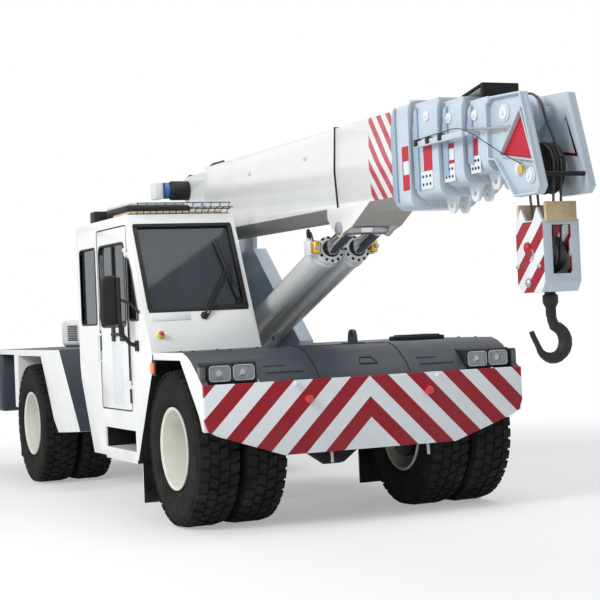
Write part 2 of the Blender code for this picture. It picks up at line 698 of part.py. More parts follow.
def make_sheave(centre, radius, pin=0.04, steps=20):
    """Twin-groove rope sheave, bored for its pin."""
    half = SHEAVE_WIDTH / 2
    inner = (pin + RUNNING) / math.cos(math.pi / steps)
    depth = 0.020
    # groove bottoms at a quarter and three quarters of the width
    profile = [(inner, half), (radius, half), (radius - depth, half - 0.017),
               (radius - depth, half - 0.033), (radius, 0.004), (radius, -0.004),
               (radius - depth, -half + 0.033), (radius - depth, -half + 0.017),
               (radius, -half), (inner, -half)]
    return turned(profile, "Y", centre, steps)


def make_hook_block():
    """Block with two cheeks and a sheave; it hangs on rope from the main sheave's axis."""
    carrier("hook_block", (HOOK_X, 0, MAIN_SHEAVE_Z))
    carrier("hook", (HOOK_X, 0, BLOCK_BOTTOM))
    half = BLOCK_HALF_WIDTH
    x0, x1 = HOOK_X - BLOCK_HALF_LENGTH, HOOK_X + BLOCK_HALF_LENGTH
    case = [(x0, BLOCK_TOP), (x0, BLOCK_BOTTOM + 0.055), (x0 + 0.04, BLOCK_BOTTOM),
            (x1 - 0.04, BLOCK_BOTTOM), (x1, BLOCK_BOTTOM + 0.055), (x1, BLOCK_TOP)]
    wall = BLOCK_PLATE
    room = box((x0 + wall, wall - half, BLOCK_BOTTOM + 0.035), (x1 - wall, half - wall, BLOCK_TOP + 0.1))
    windows = box((x0 - 0.1, -BLOCK_WINDOW, BLOCK_BOTTOM + 0.10),
                  (x1 + 0.1, BLOCK_WINDOW, BLOCK_TOP - 0.03))
    solids = [joined([prism(case, "Y", -half, half)], [room, windows])]
    for end in (-1, 1):
        x = HOOK_X + end * BLOCK_HALF_LENGTH
        solids.append(box((x - 0.012, -0.10, BLOCK_TOP - 0.01), (x + 0.012, 0.10, BLOCK_TOP + 0.10)))
        gusset = HOOK_X + end * 0.085
        for s, _ in SIDES:
            solids.append(prism([(gusset - 0.05, BLOCK_TOP - 0.004), (gusset + 0.05, BLOCK_TOP - 0.004),
                                 (gusset, BLOCK_TOP + 0.075)], "Y",
                                *sorted((s * (half - wall + 0.002), s * (half - 0.002)))))
    solids.append(rod((HOOK_X, -half - 0.01, BLOCK_SHEAVE_Z), (HOOK_X, half + 0.01, BLOCK_SHEAVE_Z),
                      0.04))
    shank = 0.032
    cuts = [bore((HOOK_X, 0, BLOCK_BOTTOM - 0.1), (HOOK_X, 0, BLOCK_BOTTOM + 0.1), shank, 16)]
    node("hook_block_body", "hook_block", "white", solids, cuts)
    radius = 0.105
    sheave = make_sheave((HOOK_X, 0, BLOCK_SHEAVE_Z), radius)
    falls = [sheave]
    for s, _ in SIDES:
        y = s * SHEAVE_WIDTH / 4
        bend = math.cos(math.pi / ROPE_STEPS)
        flat = ROPE_RADIUS * math.cos(math.radians(30))
        top_groove = (SHEAVE_RADIUS - 0.020 + flat + ROPE_SEAT) / bend
        low_groove = radius - 0.020 + ROPE_RADIUS * 0.6
        upper = arc((HOOK_X, MAIN_SHEAVE_Z), top_groove, 0, 180, ROPE_STEPS // 2)
        lower = arc((HOOK_X, BLOCK_SHEAVE_Z), low_groove, 180, 360, 6)
        falls.append(bent_bar([(x, y, z) for x, z in upper + lower], ROPE_RADIUS, cyclic=True))
    node("hoist_falls", "hook_block", "iron", falls, smooth=40)
    make_hook(shank)


def make_hook(shank):
    top = BLOCK_BOTTOM + 0.035 + CLEAR
    stem = turned([(0.0, top + 0.035), (0.05, top + 0.035), (0.05, top), (shank, top),
                   (shank, BLOCK_BOTTOM - 0.01), (0.045, BLOCK_BOTTOM - 0.02),
                   (0.045, BLOCK_BOTTOM - 0.06), (0.03, BLOCK_BOTTOM - 0.09),
                   (0.03, BLOCK_BOTTOM - 0.14), (0.0, BLOCK_BOTTOM - 0.14)],
                  "Z", (HOOK_X, 0, 0), 16)
    low = BLOCK_BOTTOM
    throat = (-0.005, low - 0.283)
    curl = arc(throat, 0.092, 75, -165, 14)
    path = [(0.0, low - 0.115), (0.004, low - 0.155)] + curl + [(-0.125, low - 0.245),
                                                                (-0.135, low - 0.22)]
    widths = []
    for index in range(len(path)):
        share = index / (len(path) - 1)
        widths.append(0.62 + 0.45 * math.sin(math.pi * min(1.0, share * 1.15)) - 0.25 * share)
    curve = bent_bar([(HOOK_X, y, z) for y, z in path], 0.042, widths=widths, resolution=2)
    node("hook", "hook", "iron", [stem, curve], smooth=50)


def make_bumper():
    """Front plate, whose lower edge rises to rounded outer corners."""
    half = [(0.0, BUMPER_TOP), (BODY_HALF_WIDTH, BUMPER_TOP), (BODY_HALF_WIDTH, 0.79),
            (BODY_HALF_WIDTH - 0.028, 0.715), (BODY_HALF_WIDTH - 0.093, 0.68), (BUMPER_FLAT_HALF, BUMPER_BOTTOM), (0.0, BUMPER_BOTTOM)]
    outline = half[1:-1] + [(-y, z) for y, z in reversed(half[1:-1])]
    plate = prism(outline, "X", BUMPER_FRONT - BUMPER_SHEET, BUMPER_FRONT)
    node("bumper_plate", "front_chassis", "white", [plate])


# Nose of the front deck, from the flat top forwards and down, as (x, z)
NOSE = ((0.31, DECK_TOP), (0.40, 1.225), (0.472, 1.19), (0.58, 1.115), (0.66, BUMPER_TOP))


def deck_band(rear):
    """Side view of the deck sheet: its top line out and its underside back."""
    top = [(rear, DECK_TOP), *NOSE]
    under = [(x - DECK_SHEET * 0.6, z - DECK_SHEET) for x, z in reversed(NOSE)]
    return top + under + [(rear, DECK_TOP - DECK_SHEET)]


def fender_plate(s):
    """Side plate with the arch over a front wheel; the left one has a foot like the cab's."""
    rear = -0.345 if s < 0 else -0.93
    outer = [(rear, DECK_TOP), *NOSE[:-1], (BUMPER_FRONT - BUMPER_SHEET - SEAT, BUMPER_TOP),
             (BUMPER_FRONT - BUMPER_SHEET - SEAT, 0.71)]
    inner = [(0.655, 0.72), (0.60, 0.82), (0.25, 1.195)]
    end = [(rear, 1.195)]
    if s > 0:
        end = [(-0.36, 1.195), (-0.40, 1.12), (-0.80, 0.44), (-0.93, 0.44)]
    y0, y1 = sorted((s * BODY_HALF_WIDTH, s * (BODY_HALF_WIDTH - DECK_SHEET - 0.01)))
    return prism(outer + inner + end, "Y", y0, y1)


def make_front_deck():
    """Deck, nose and fenders over the front axle, open round the tower and cylinders."""
    side = BODY_HALF_WIDTH - 0.01
    full = prism(deck_band(-0.345), "Y", -side, side)
    rear = -0.93
    left = box((rear, 0.30, DECK_TOP - DECK_SHEET), (-0.33, side, DECK_TOP))
    solids = [full, left, fender_plate(-1), fender_plate(1)]
    for s in (-1, 1):
        y = s * (BEAM_INNER + BEAM_OUTER) / 2
        for x in (-0.30, 0.20):
            solids.append(box((x, y - 0.03, BEAM_TOP + SEAT),
                              (x + 0.10, y + 0.03, DECK_TOP - 0.02)))
    solids.append(box((-0.845, 0.62, 0.10), (-0.83, 1.20, DECK_TOP - 0.02)))
    cuts = []
    for s, _ in SIDES:
        low, high = sorted((s * (LAMP_INNER - CLEAR), s * (BODY_HALF_WIDTH - DECK_SHEET)))
        cuts.append(box((LAMP_REAR, low, BUMPER_TOP - 0.1),
                        (LAMP_FRONT + 0.2, high, LAMP_TOP + SEAT)))
    node("front_deck", "front_chassis", "white", solids, cuts)


LAMP_INNER = 0.82
LAMP_TOP = 1.175
LAMP_REAR = 0.47
LAMP_FRONT = 0.64


def make_headlamps():
    """Pods beside the nose, each with two lamps set in its front face."""
    for s, label in SIDES:
        low, high = sorted((s * LAMP_INNER, s * (BODY_HALF_WIDTH - DECK_SHEET - SEAT)))
        body = box((LAMP_REAR + SEAT, low, BUMPER_TOP + SEAT), (LAMP_FRONT, high, LAMP_TOP), 0.012)
        cuts = []
        width = (high - low - 0.06) / 2
        for i in range(2):
            a = low + 0.02 + i * (width + 0.02)
            cuts.append(box((LAMP_FRONT - 0.008, a, 1.05), (LAMP_FRONT + 0.1, a + width, 1.155)))
        node(f"headlamp_{label}", "front_chassis", "black", [body], cuts)


def cab_section():
    """Cab side view above the chassis, as (x, z)."""
    slope = 0.47
    front_top = -0.369 - slope * (CAB_ROOF - 1.232)
    return [(-0.37, 1.12), (-0.369, 1.232), (front_top, CAB_ROOF), (-0.88, ROOF_TOP),
            (-2.28, ROOF_TOP), (CAB_REAR, CAB_ROOF), (CAB_REAR - 0.01, 1.12)]


def make_cab():
    """Hollow cab: walls, floor and posts, with the door and window openings cut."""
    wall = CAB_WALL
    upper = prism(cab_section(), "Y", CAB_RIGHT, CAB_LEFT)
    lower_outline = [(-0.45, 1.14), (-0.374, 1.122), (-0.80, 0.425), (-2.00, 0.42),
                     (-2.31, 1.03), (CAB_REAR - 0.004, 1.125), (-2.25, 1.14)]
    lower_left = -BEAM_OUTER - 0.012
    lower = prism(lower_outline, "Y", CAB_RIGHT, lower_left)
    inside_upper = [(-0.425, 1.16), (-0.42, 1.25), (-0.885, 2.22), (-2.28, 2.22), (-2.285, 1.16)]
    inside_lower = [(-0.43, 1.17), (-0.44, 1.13), (-0.62, CAB_FLOOR), (-2.18, CAB_FLOOR),
                    (-2.275, 1.04), (-2.285, 1.17)]
    room = CAB_RIGHT + wall
    cuts = [prism(inside_upper, "Y", room, CAB_LEFT - wall),
            prism(inside_lower, "Y", room, lower_left - wall),
            box((DOOR_REAR, CAB_RIGHT - 0.1, DOOR_BOTTOM), (DOOR_FRONT, room + 0.01, DOOR_TOP)),
            prism([(-0.40, 1.563), (-0.70, 1.563), (-1.00, 2.215), (-0.70, 2.215)], "Y",
                  CAB_RIGHT + 0.05, CAB_LEFT - 0.05),
            prism([(-0.865, 1.50), (-0.66, 1.50), (-0.80, 1.87), (-0.865, 1.97)], "Y",
                  CAB_RIGHT - 0.1, room + 0.01),
            box((-2.21, CAB_RIGHT - 0.1, 1.48), (-1.77, room + 0.01, 2.09)),
            box((CAB_REAR - 0.1, -1.12, 1.45), (CAB_REAR + wall + 0.02, -0.49, 2.12)),
            prism([(-2.17, 1.45), (-0.72, 1.45), (-1.02, 2.12), (-2.17, 2.12)], "Y",
                  CAB_LEFT - wall - 0.01, CAB_LEFT + 0.1),
            box((-1.65, CAB_RIGHT - 0.1, 0.49), (-0.84, -0.95, 0.65)),
            box((-1.92, -0.90, 0.30), (-0.95, lower_left - wall, 0.76))]
    hx, hy = DOOR_HINGE
    ears = []
    for z in HINGE_LEVELS:
        ears.append(rod((hx, hy, z - 0.03), (hx, hy, z), 0.012))
        ears.append(rod((hx, hy, z - 0.01), (hx, hy, z + 0.032), 0.006))
        ears.append(box((hx - 0.008, hy, z - 0.03), (hx + 0.012, CAB_RIGHT + 0.01, z)))
    solids = [upper, lower] + ears
    cab = joined(solids, cuts)
    tread = box((-1.66, CAB_RIGHT + 0.003, 0.40), (-0.83, -0.96, 0.43))
    stand = box((-1.62, -0.98, CAB_FLOOR - 0.02), (-1.22, -0.68, SEAT_BASE), 0.0)
    flap = box((-0.845, -1.20, 0.10), (-0.83, -0.62, 0.44))
    node("cab_body", "front_chassis", "white", [cab, tread, stand, flap])


HINGE_LEVELS = (1.00, 2.02)
SEAT_BASE = 1.10


def make_roof_unit():
    unit = box((-2.10, -1.08, ROOF_TOP + SEAT), (-1.40, -0.52, ROOF_TOP + 0.115), 0.03)
    node("roof_air_unit", "front_chassis", "black", [unit])


def make_glass():
    """Panes set in the middle of the walls, with their edges against the openings."""
    mid = CAB_RIGHT + CAB_WALL / 2
    g = GLASS / 2
    slope = 0.47
    def screen(offset):
        return [(-0.369 - slope * (z - 1.232) - offset, z) for z in (1.563 + SEAT, 2.215 - SEAT)]
    front, back = screen(0.017), screen(0.017 + GLASS)
    node("windscreen", "front_chassis", "glass",
         [prism(front + back[::-1], "Y", CAB_RIGHT + 0.05 + SEAT, CAB_LEFT - 0.05 - SEAT)])
    quarter = [(-0.865 + SEAT, 1.50 + SEAT), (-0.66 - 2 * SEAT, 1.50 + SEAT),
               (-0.80 - 2 * SEAT, 1.87), (-0.865 + SEAT, 1.97 - 3 * SEAT)]
    node("glass_quarter", "front_chassis", "glass", [prism(quarter, "Y", mid - g, mid + g)])
    node("glass_rear_side", "front_chassis", "glass",
         [box((-2.21 + SEAT, mid - g, 1.48 + SEAT), (-1.77 - SEAT, mid + g, 2.09 - SEAT))])
    back_x = CAB_REAR + 0.015
    node("glass_rear", "front_chassis", "glass",
         [box((back_x, -1.12 + SEAT, 1.45 + SEAT), (back_x + GLASS, -0.49 - SEAT, 2.12 - SEAT))])
    left = CAB_LEFT - CAB_WALL / 2
    side = [(-2.17 + SEAT, 1.45 + SEAT), (-0.72 - 3 * SEAT, 1.45 + SEAT),
            (-1.02 - 3 * SEAT, 2.12 - SEAT), (-2.17 + SEAT, 2.12 - SEAT)]
    node("glass_left", "front_chassis", "glass", [prism(side, "Y", left - g, left + g)])


def make_door():
    """Cab door hung on its front edge, with its window cut and a grab handle."""
    hx, hy = DOOR_HINGE
    carrier("cab_door", (hx, hy, HINGE_LEVELS[0]))
    inner = CAB_RIGHT + CAB_WALL
    leaf = box((DOOR_REAR + CLEAR, CAB_RIGHT, DOOR_BOTTOM + CLEAR),
               (DOOR_FRONT - CLEAR, inner, DOOR_TOP - CLEAR))
    window = (-1.645, -0.975, 1.46, 2.09)
    cuts = [box((window[0], CAB_RIGHT - 0.1, window[2]), (window[1], inner + 0.1, window[3]))]
    solids = [leaf]
    for z in HINGE_LEVELS:
        solids.append(rod((hx, hy, z + 0.003), (hx, hy, z + 0.03), 0.012))
        solids.append(box((DOOR_FRONT - 0.09, hy + 0.004, z + 0.003),
                          (hx, hy + 0.010, z + 0.03)))
        solids.append(box((DOOR_FRONT - 0.09, hy + 0.004, z + 0.003),
                          (DOOR_FRONT - 0.02, CAB_RIGHT + 0.005, z + 0.03)))
        cuts.append(bore((hx, hy, z - 0.02), (hx, hy, z + 0.05), 0.006))
    grip = bent_bar([(-1.655, CAB_RIGHT + 0.01, 1.17), (-1.655, CAB_RIGHT - 0.035, 1.19),
                     (-1.655, CAB_RIGHT - 0.035, 1.38), (-1.655, CAB_RIGHT + 0.01, 1.40)], 0.011)
    node("cab_door_leaf", "cab_door", "white", solids + [grip], cuts)
    mid = CAB_RIGHT + CAB_WALL / 2
    pane = box((window[0] + SEAT, mid - GLASS / 2, window[2] + SEAT),
               (window[1] - SEAT, mid + GLASS / 2, window[3] - SEAT))
    node("cab_door_glass", "cab_door", "glass", [pane])


def make_cab_interior():
    """Driver's seat on its stand, dash and steering wheel."""
    seat_rear = -1.68
    node("seat_cushion", "front_chassis", "fabric",
         [box((seat_rear, -1.07, SEAT_BASE + SEAT), (-1.17, -0.59, 1.22), 0.03)])
    back = box((-1.84, -1.06, 1.08), (seat_rear - SEAT, -0.60, 1.85), 0.03)
    node("seat_back", "front_chassis", "fabric", [back])
    dash = prism([(-0.44, 1.18), (-0.44, 1.27), (-0.56, 1.49), (-0.70, 1.46), (-0.70, 1.30),
                  (-0.62, 1.18)], "Y", CAB_RIGHT + CAB_WALL + 0.02, CAB_LEFT - CAB_WALL - 0.02)
    foot = box((-0.69, -0.95, CAB_FLOOR + SEAT), (-0.64, -0.70, 1.35))
    rim = []
    hub = Vector((-0.86, -0.83, 1.50))
    tilt = Matrix.Rotation(math.radians(-55), 4, "Y")
    for i in range(20):
        a = 2 * math.pi * i / 20
        rim.append(hub + tilt @ Vector((0, 0.20 * math.cos(a), 0.20 * math.sin(a))))
    wheel = bent_bar(rim, 0.014, cyclic=True)
    axis = (tilt @ Vector((1, 0, 0))).normalized()
    column = rod(hub, (-0.64, -0.83, 1.38), 0.025)
    spokes = [rod(hub, hub + tilt @ Vector((0, 0.20 * math.cos(a), 0.20 * math.sin(a))), 0.011, 8)
              for a in (math.radians(90), math.radians(210), math.radians(330))]
    node("dashboard", "front_chassis", "black", [dash, foot, wheel, column] + spokes)


def make_mirror():
    """Door-side mirror on two arms from the front post."""
    glass_box = box((-0.79, MIRROR_OUTER, 1.45), (-0.73, MIRROR_OUTER + 0.17, 1.84), 0.015)
    y = MIRROR_OUTER + 0.09
    arms = [bent_bar([(-0.60, CAB_RIGHT - SEAT, z), (-0.66, CAB_RIGHT - 0.03, z),
                      (-0.755, y, z)], 0.012) for z in (1.52,)]
    foot = box((-0.64, CAB_RIGHT - 0.012, 1.49), (-0.58, CAB_RIGHT - SEAT, 1.55))
    node("mirror_right", "front_chassis", "black", [glass_box, foot] + arms,
         [box((-0.8, CAB_RIGHT - SEAT, 1.3), (-0.4, CAB_RIGHT + 0.2, 1.9))])


def make_side_tank():
    """Oil tank on the left, opposite the cab, on two arms from the beam."""
    tank = box((-2.18, 0.52, 0.50), (-0.98, BODY_HALF_WIDTH, 1.18), 0.05)
    arms = [box((x, BEAM_OUTER + SEAT, 0.80), (x + 0.10, 0.55, 1.00)) for x in (-2.0, -1.4)]
    node("oil_tank", "front_chassis", "charcoal", [tank] + arms)


# Rear mudguard side view: arch over the rear wheel between two legs, as (x, z)
REAR_DECK_TOP = 1.26


def make_rear_body():
    """Mudguards and deck over the rear axle, with the engine, its hood and the ballast."""
    front_top, front_foot = (-3.30, REAR_DECK_TOP), (-2.945, 0.53)
    top_rear = -4.93
    outline = [(top_rear, 0.69), (top_rear, REAR_DECK_TOP), front_top, front_foot,
               (-3.37, 0.51), (-3.86, 1.20), (-4.76, 1.20), (-4.78, 0.69)]
    wedge = 0.20
    solids, cuts = [], []
    for s, _ in SIDES:
        outer = s * REAR_HALF_WIDTH
        solids.append(prism(outline, "Y", *sorted((outer, s * 0.58))))
        shelf = sorted((s * BEAM_INNER, s * 0.60))
        solids.append(box((top_rear, shelf[0], REAR_DECK_TOP - 0.05),
                          (-3.36, shelf[1], REAR_DECK_TOP)))
        post = sorted((s * (BEAM_OUTER - 0.02), s * (BEAM_INNER + 0.02)))
        for x in (-3.5, -4.7):
            solids.append(box((x, post[0], BEAM_TOP + SEAT), (x + 0.1, post[1], REAR_DECK_TOP - 0.02)))
        flap = sorted((s * 0.60, s * 1.17))
        solids.append(box((-4.92, flap[0], 0.20), (-4.905, flap[1], 0.72)))
        cuts.append(prism([(-3.45, outer), (-2.5, outer - s * wedge * 0.95),
                           (-2.5, outer + s * 0.3), (-3.45, outer + s * 0.3)], "Z", 0.3, 1.5))
    solids.append(box((REAR_BEAM_REAR, -REAR_HALF_WIDTH, REAR_DECK_TOP - 0.05),
                      (top_rear + 0.02, REAR_HALF_WIDTH, REAR_DECK_TOP)))
    solids.append(box((REAR_BEAM_REAR, -0.45, BEAM_TOP + SEAT), (REAR_BEAM_REAR + 0.05, 0.45, 1.23)))
    node("rear_bodywork", "rear_chassis", "white", solids, cuts)
    carrier("engine_hood", (HOOD_REAR, 0, REAR_DECK_TOP + SEAT))
    hood = box((HOOD_REAR, -HOOD_HALF_WIDTH, REAR_DECK_TOP + SEAT),
               (HOOD_FRONT, HOOD_HALF_WIDTH, HOOD_TOP), 0.04)
    wall = 0.05
    room = box((HOOD_REAR + wall, -HOOD_HALF_WIDTH + wall, 1.0),
               (HOOD_FRONT - wall, HOOD_HALF_WIDTH - wall, HOOD_TOP - wall))
    node("engine_hood", "engine_hood", "white", [hood], [room])
    engine = box((-4.88, -0.27, 0.80), (-3.83, 0.27, 1.42))
    feet = [box((x, -BEAM_INNER + SEAT, 0.80), (x + 0.1, BEAM_INNER - SEAT, 0.90))
            for x in (-4.8, -4.0)]
    node("engine_block", "rear_chassis", "iron", [engine] + feet)
    weight = box((REAR_END, -REAR_HALF_WIDTH, 0.62), (REAR_BEAM_REAR - SEAT, REAR_HALF_WIDTH, 1.24),
                 0.04)
    lamps = [box((REAR_END - 0.03, min(s * 0.80, s * 1.10), 1.0),
                 (REAR_END + 0.02, max(s * 0.80, s * 1.10), 1.10)) for s, _ in SIDES]
    node("counterweight", "rear_chassis", "charcoal", [weight] + lamps)


def make_winch():
    """Hoist winch between the tail plates, drum across, motor out to the right."""
    x, z = WINCH
    inner = WINCH_PLATE_Y - SEAT
    outer = WINCH_PLATE_Y + WINCH_PLATE
    drum = turned([(0.0, inner), (0.14, inner), (0.14, inner - 0.02), (0.09, inner - 0.02),
                   (0.09, -inner + 0.02), (0.14, -inner + 0.02), (0.14, -inner),
                   (WINCH_SHAFT, -inner), (WINCH_SHAFT, -outer - SEAT), (0.085, -outer - SEAT),
                   (0.085, -0.34), (0.07, -0.36), (0.07, -0.42), (0.0, -0.42)],
                  "Y", (x, 0, z), 20)
    node("winch", "boom", "iron", [drum], smooth=40)


def main():
    carrier("front_chassis")
    carrier("rear_chassis", (PIVOT_X, 0, 0))
    make_front_frame()
    make_rear_frame()
    for axle_x, axle, body in ((0.0, "front", "front_chassis"),
                               (-WHEELBASE, "rear", "rear_chassis")):
        make_axle(axle_x, axle, body)
        for side, label in SIDES:
            make_wheel(axle_x, axle, side, label)
    make_steering_cylinders()
    make_tower()
    make_lift_cylinders()
    make_boom()
    make_head()
    make_hook_block()
    make_bumper()
    make_front_deck()
    make_headlamps()
    make_cab()
    make_roof_unit()
    make_glass()
    make_door()
    make_cab_interior()
    make_mirror()
    make_side_tank()
    make_rear_body()
    make_winch()
    bpy.data.collections.remove(BENCH)


main()
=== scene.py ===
import json
import math

import bmesh
import bpy
from mathutils import Matrix, Vector

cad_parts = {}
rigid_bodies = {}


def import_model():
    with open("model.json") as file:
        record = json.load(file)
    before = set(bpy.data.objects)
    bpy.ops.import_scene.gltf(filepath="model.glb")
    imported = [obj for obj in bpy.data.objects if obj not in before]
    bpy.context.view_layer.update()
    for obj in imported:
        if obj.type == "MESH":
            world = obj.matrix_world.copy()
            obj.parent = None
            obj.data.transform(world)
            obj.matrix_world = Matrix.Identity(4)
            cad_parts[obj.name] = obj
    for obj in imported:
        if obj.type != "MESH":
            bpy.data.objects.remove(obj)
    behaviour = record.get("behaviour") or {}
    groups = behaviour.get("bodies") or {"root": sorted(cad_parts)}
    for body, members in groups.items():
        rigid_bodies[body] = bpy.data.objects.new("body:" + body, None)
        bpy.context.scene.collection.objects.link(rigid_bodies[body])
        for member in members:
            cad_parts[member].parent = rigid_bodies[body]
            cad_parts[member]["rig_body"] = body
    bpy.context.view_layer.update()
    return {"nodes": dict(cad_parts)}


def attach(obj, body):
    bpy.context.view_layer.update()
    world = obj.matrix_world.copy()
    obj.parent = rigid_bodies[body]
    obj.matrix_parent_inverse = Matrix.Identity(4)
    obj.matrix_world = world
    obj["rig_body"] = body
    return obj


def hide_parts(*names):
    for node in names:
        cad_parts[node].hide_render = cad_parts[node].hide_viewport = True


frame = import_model()
nodes = frame["nodes"]

# Sizes below are from the ground under the front axle; the model stands on the middle of its footprint
shift = Vector((1.2425, 0.136, 0.0))
sides = ((-1, "right"), (1, "left"))
scene = bpy.context.scene
scene.view_settings.view_transform = "Standard"


# ---- shader groups, built once and used in several finishes

def newGroup(name, inputs, outputs):
    tree = bpy.data.node_groups.new(name, "ShaderNodeTree")
    for label, kind, value in inputs:
        socket = tree.interface.new_socket(label, in_out="INPUT", socket_type=kind)
        socket.default_value = value
    for label, kind in outputs:
        tree.interface.new_socket(label, in_out="OUTPUT", socket_type=kind)
    return tree, tree.nodes.new("NodeGroupInput"), tree.nodes.new("NodeGroupOutput")


def addNode(tree, kind, **values):
    node = tree.nodes.new(kind)
    for key, value in values.items():
        setattr(node, key, value)
    return node


def setInputs(node, values):
    for socket, value in values.items():
        node.inputs[socket].default_value = value


def mathNode(tree, operation, a, b=None, clamp=False):
    node = addNode(tree, "ShaderNodeMath", operation=operation, use_clamp=clamp)
    for index, value in enumerate((a, b)):
        if value is None:
            continue
        if isinstance(value, (int, float)):
            node.inputs[index].default_value = value
        else:
            tree.links.new(value, node.inputs[index])
    return node.outputs[0]


def mixColour(tree, factor, a, b):
    node = addNode(tree, "ShaderNodeMix", data_type="RGBA")
    for socket, value in ((node.inputs[0], factor), (node.inputs[6], a), (node.inputs[7], b)):
        if isinstance(value, (int, float)):
            socket.default_value = value
        elif isinstance(value, tuple):
            socket.default_value = (*value[:3], 1.0)
        else:
            tree.links.new(value, socket)
    return node.outputs[2]


def buildRoadDirt():
    tree, entry, leave = newGroup("roadDirt", (
        ("Paint", "NodeSocketColor", (0.8, 0.8, 0.8, 1)), ("Dirt", "NodeSocketColor", (0.2, 0.18, 0.15, 1)),
        ("Amount", "NodeSocketFloat", 0.3), ("Low", "NodeSocketFloat", 1.1), ("Scale", "NodeSocketFloat", 3.0),
        ("Gloss", "NodeSocketFloat", 0.3)), (("Color", "NodeSocketColor"), ("Roughness", "NodeSocketFloat"),
                                             ("Height", "NodeSocketFloat")))
    coords = addNode(tree, "ShaderNodeTexCoord")
    split = addNode(tree, "ShaderNodeSeparateXYZ")
    tree.links.new(coords.outputs["Object"], split.inputs[0])
    cloud = addNode(tree, "ShaderNodeTexNoise")
    setInputs(cloud, {"Detail": 8.0, "Roughness": 0.65})
    tree.links.new(coords.outputs["Object"], cloud.inputs["Vector"])
    tree.links.new(entry.outputs["Scale"], cloud.inputs["Scale"])
    fine = addNode(tree, "ShaderNodeTexNoise")
    setInputs(fine, {"Scale": 90.0, "Detail": 3.0})
    tree.links.new(coords.outputs["Object"], fine.inputs["Vector"])
    height = mathNode(tree, "DIVIDE", split.outputs["Z"], entry.outputs["Low"])
    lowness = mathNode(tree, "SUBTRACT", 1.15, height, True)
    patch = mathNode(tree, "MULTIPLY", mathNode(tree, "SUBTRACT", cloud.outputs[0], 0.38), 3.2, True)
    dirt = mathNode(tree, "MULTIPLY", mathNode(tree, "MULTIPLY", patch, mathNode(tree, "ADD", lowness, 0.12)),
                    entry.outputs["Amount"], True)
    tone = mixColour(tree, mathNode(tree, "MULTIPLY", dirt, 0.9, True), entry.outputs["Paint"], entry.outputs["Dirt"])
    tree.links.new(tone, leave.inputs["Color"])
    rough = mathNode(tree, "ADD", entry.outputs["Gloss"], mathNode(tree, "MULTIPLY", dirt, 0.45))
    rough = mathNode(tree, "ADD", rough, mathNode(tree, "MULTIPLY", cloud.outputs[0], 0.08), True)
    tree.links.new(rough, leave.inputs["Roughness"])
    tree.links.new(mathNode(tree, "MULTIPLY", fine.outputs[0], mathNode(tree, "ADD", dirt, 0.25)),
                   leave.inputs["Height"])
    return tree


def buildSlantBands():
    tree, entry, leave = newGroup("slantBands", (
        ("Across", "NodeSocketFloat", 0.0), ("Up", "NodeSocketFloat", 0.0), ("Pitch", "NodeSocketFloat", 0.294),
        ("Offset", "NodeSocketFloat", 0.0)), (("Mask", "NodeSocketFloat"),))
    total = mathNode(tree, "ADD", entry.outputs["Across"], entry.outputs["Up"])
    total = mathNode(tree, "ADD", total, entry.outputs["Offset"])
    ramp = mathNode(tree, "FRACT", mathNode(tree, "DIVIDE", total, entry.outputs["Pitch"]))
    tree.links.new(mathNode(tree, "LESS_THAN", ramp, 0.5), leave.inputs["Mask"])
    return tree


roadDirt = buildRoadDirt()
slantBands = buildSlantBands()


looks, slotOf = {}, {}


def addFinish(name, slot, colour, rough, dirt=(0.22, 0.19, 0.16), amount=0.25, low=1.1, scale=3.0, metallic=0.0,
             coat=0.0, bump=0.0006, banded=None, bandColour=(0.27, 0.003, 0.012), specular=0.5):
    look = bpy.data.materials.new(name)
    look.use_nodes = True
    tree = look.node_tree
    shader = tree.nodes["Principled BSDF"]
    group = addNode(tree, "ShaderNodeGroup", node_tree=roadDirt)
    setInputs(group, {"Paint": (*colour, 1), "Dirt": (*dirt, 1), "Amount": amount, "Low": low, "Scale": scale,
                      "Gloss": rough})
    if banded:
        coords = addNode(tree, "ShaderNodeTexCoord")
        split = addNode(tree, "ShaderNodeSeparateXYZ")
        tree.links.new(coords.outputs["Object"], split.inputs[0])
        across = banded(tree, split)
        tree.links.new(mixColour(tree, across, colour, bandColour), group.inputs["Paint"])
    tree.links.new(group.outputs["Color"], shader.inputs["Base Color"])
    tree.links.new(group.outputs["Roughness"], shader.inputs["Roughness"])
    relief = addNode(tree, "ShaderNodeBump")
    setInputs(relief, {"Strength": 0.35, "Distance": bump})
    tree.links.new(group.outputs["Height"], relief.inputs["Height"])
    tree.links.new(relief.outputs[0], shader.inputs["Normal"])
    setInputs(shader, {"Metallic": metallic, "Coat Weight": coat, "Coat Roughness": 0.08,
                       "Specular IOR Level": specular})
    looks[name], slotOf[name] = look, slot


def bandMask(tree, across, up, pitch, offset):
    group = addNode(tree, "ShaderNodeGroup", node_tree=slantBands)
    for socket, value in (("Across", across), ("Up", up), ("Pitch", pitch), ("Offset", offset)):
        if isinstance(value, (int, float)):
            group.inputs[socket].default_value = value
        else:
            tree.links.new(value, group.inputs[socket])
    return group.outputs["Mask"]


def chevronBands(tree, split):
    away = mathNode(tree, "ABSOLUTE", mathNode(tree, "SUBTRACT", split.outputs["Y"], shift.y))
    depth = mathNode(tree, "SUBTRACT", split.outputs["Z"], 1.03)
    total = mathNode(tree, "ADD", away, depth)
    return mathNode(tree, "MULTIPLY", bandMask(tree, away, depth, 0.29, 5.80),
                    mathNode(tree, "GREATER_THAN", total, -0.36))


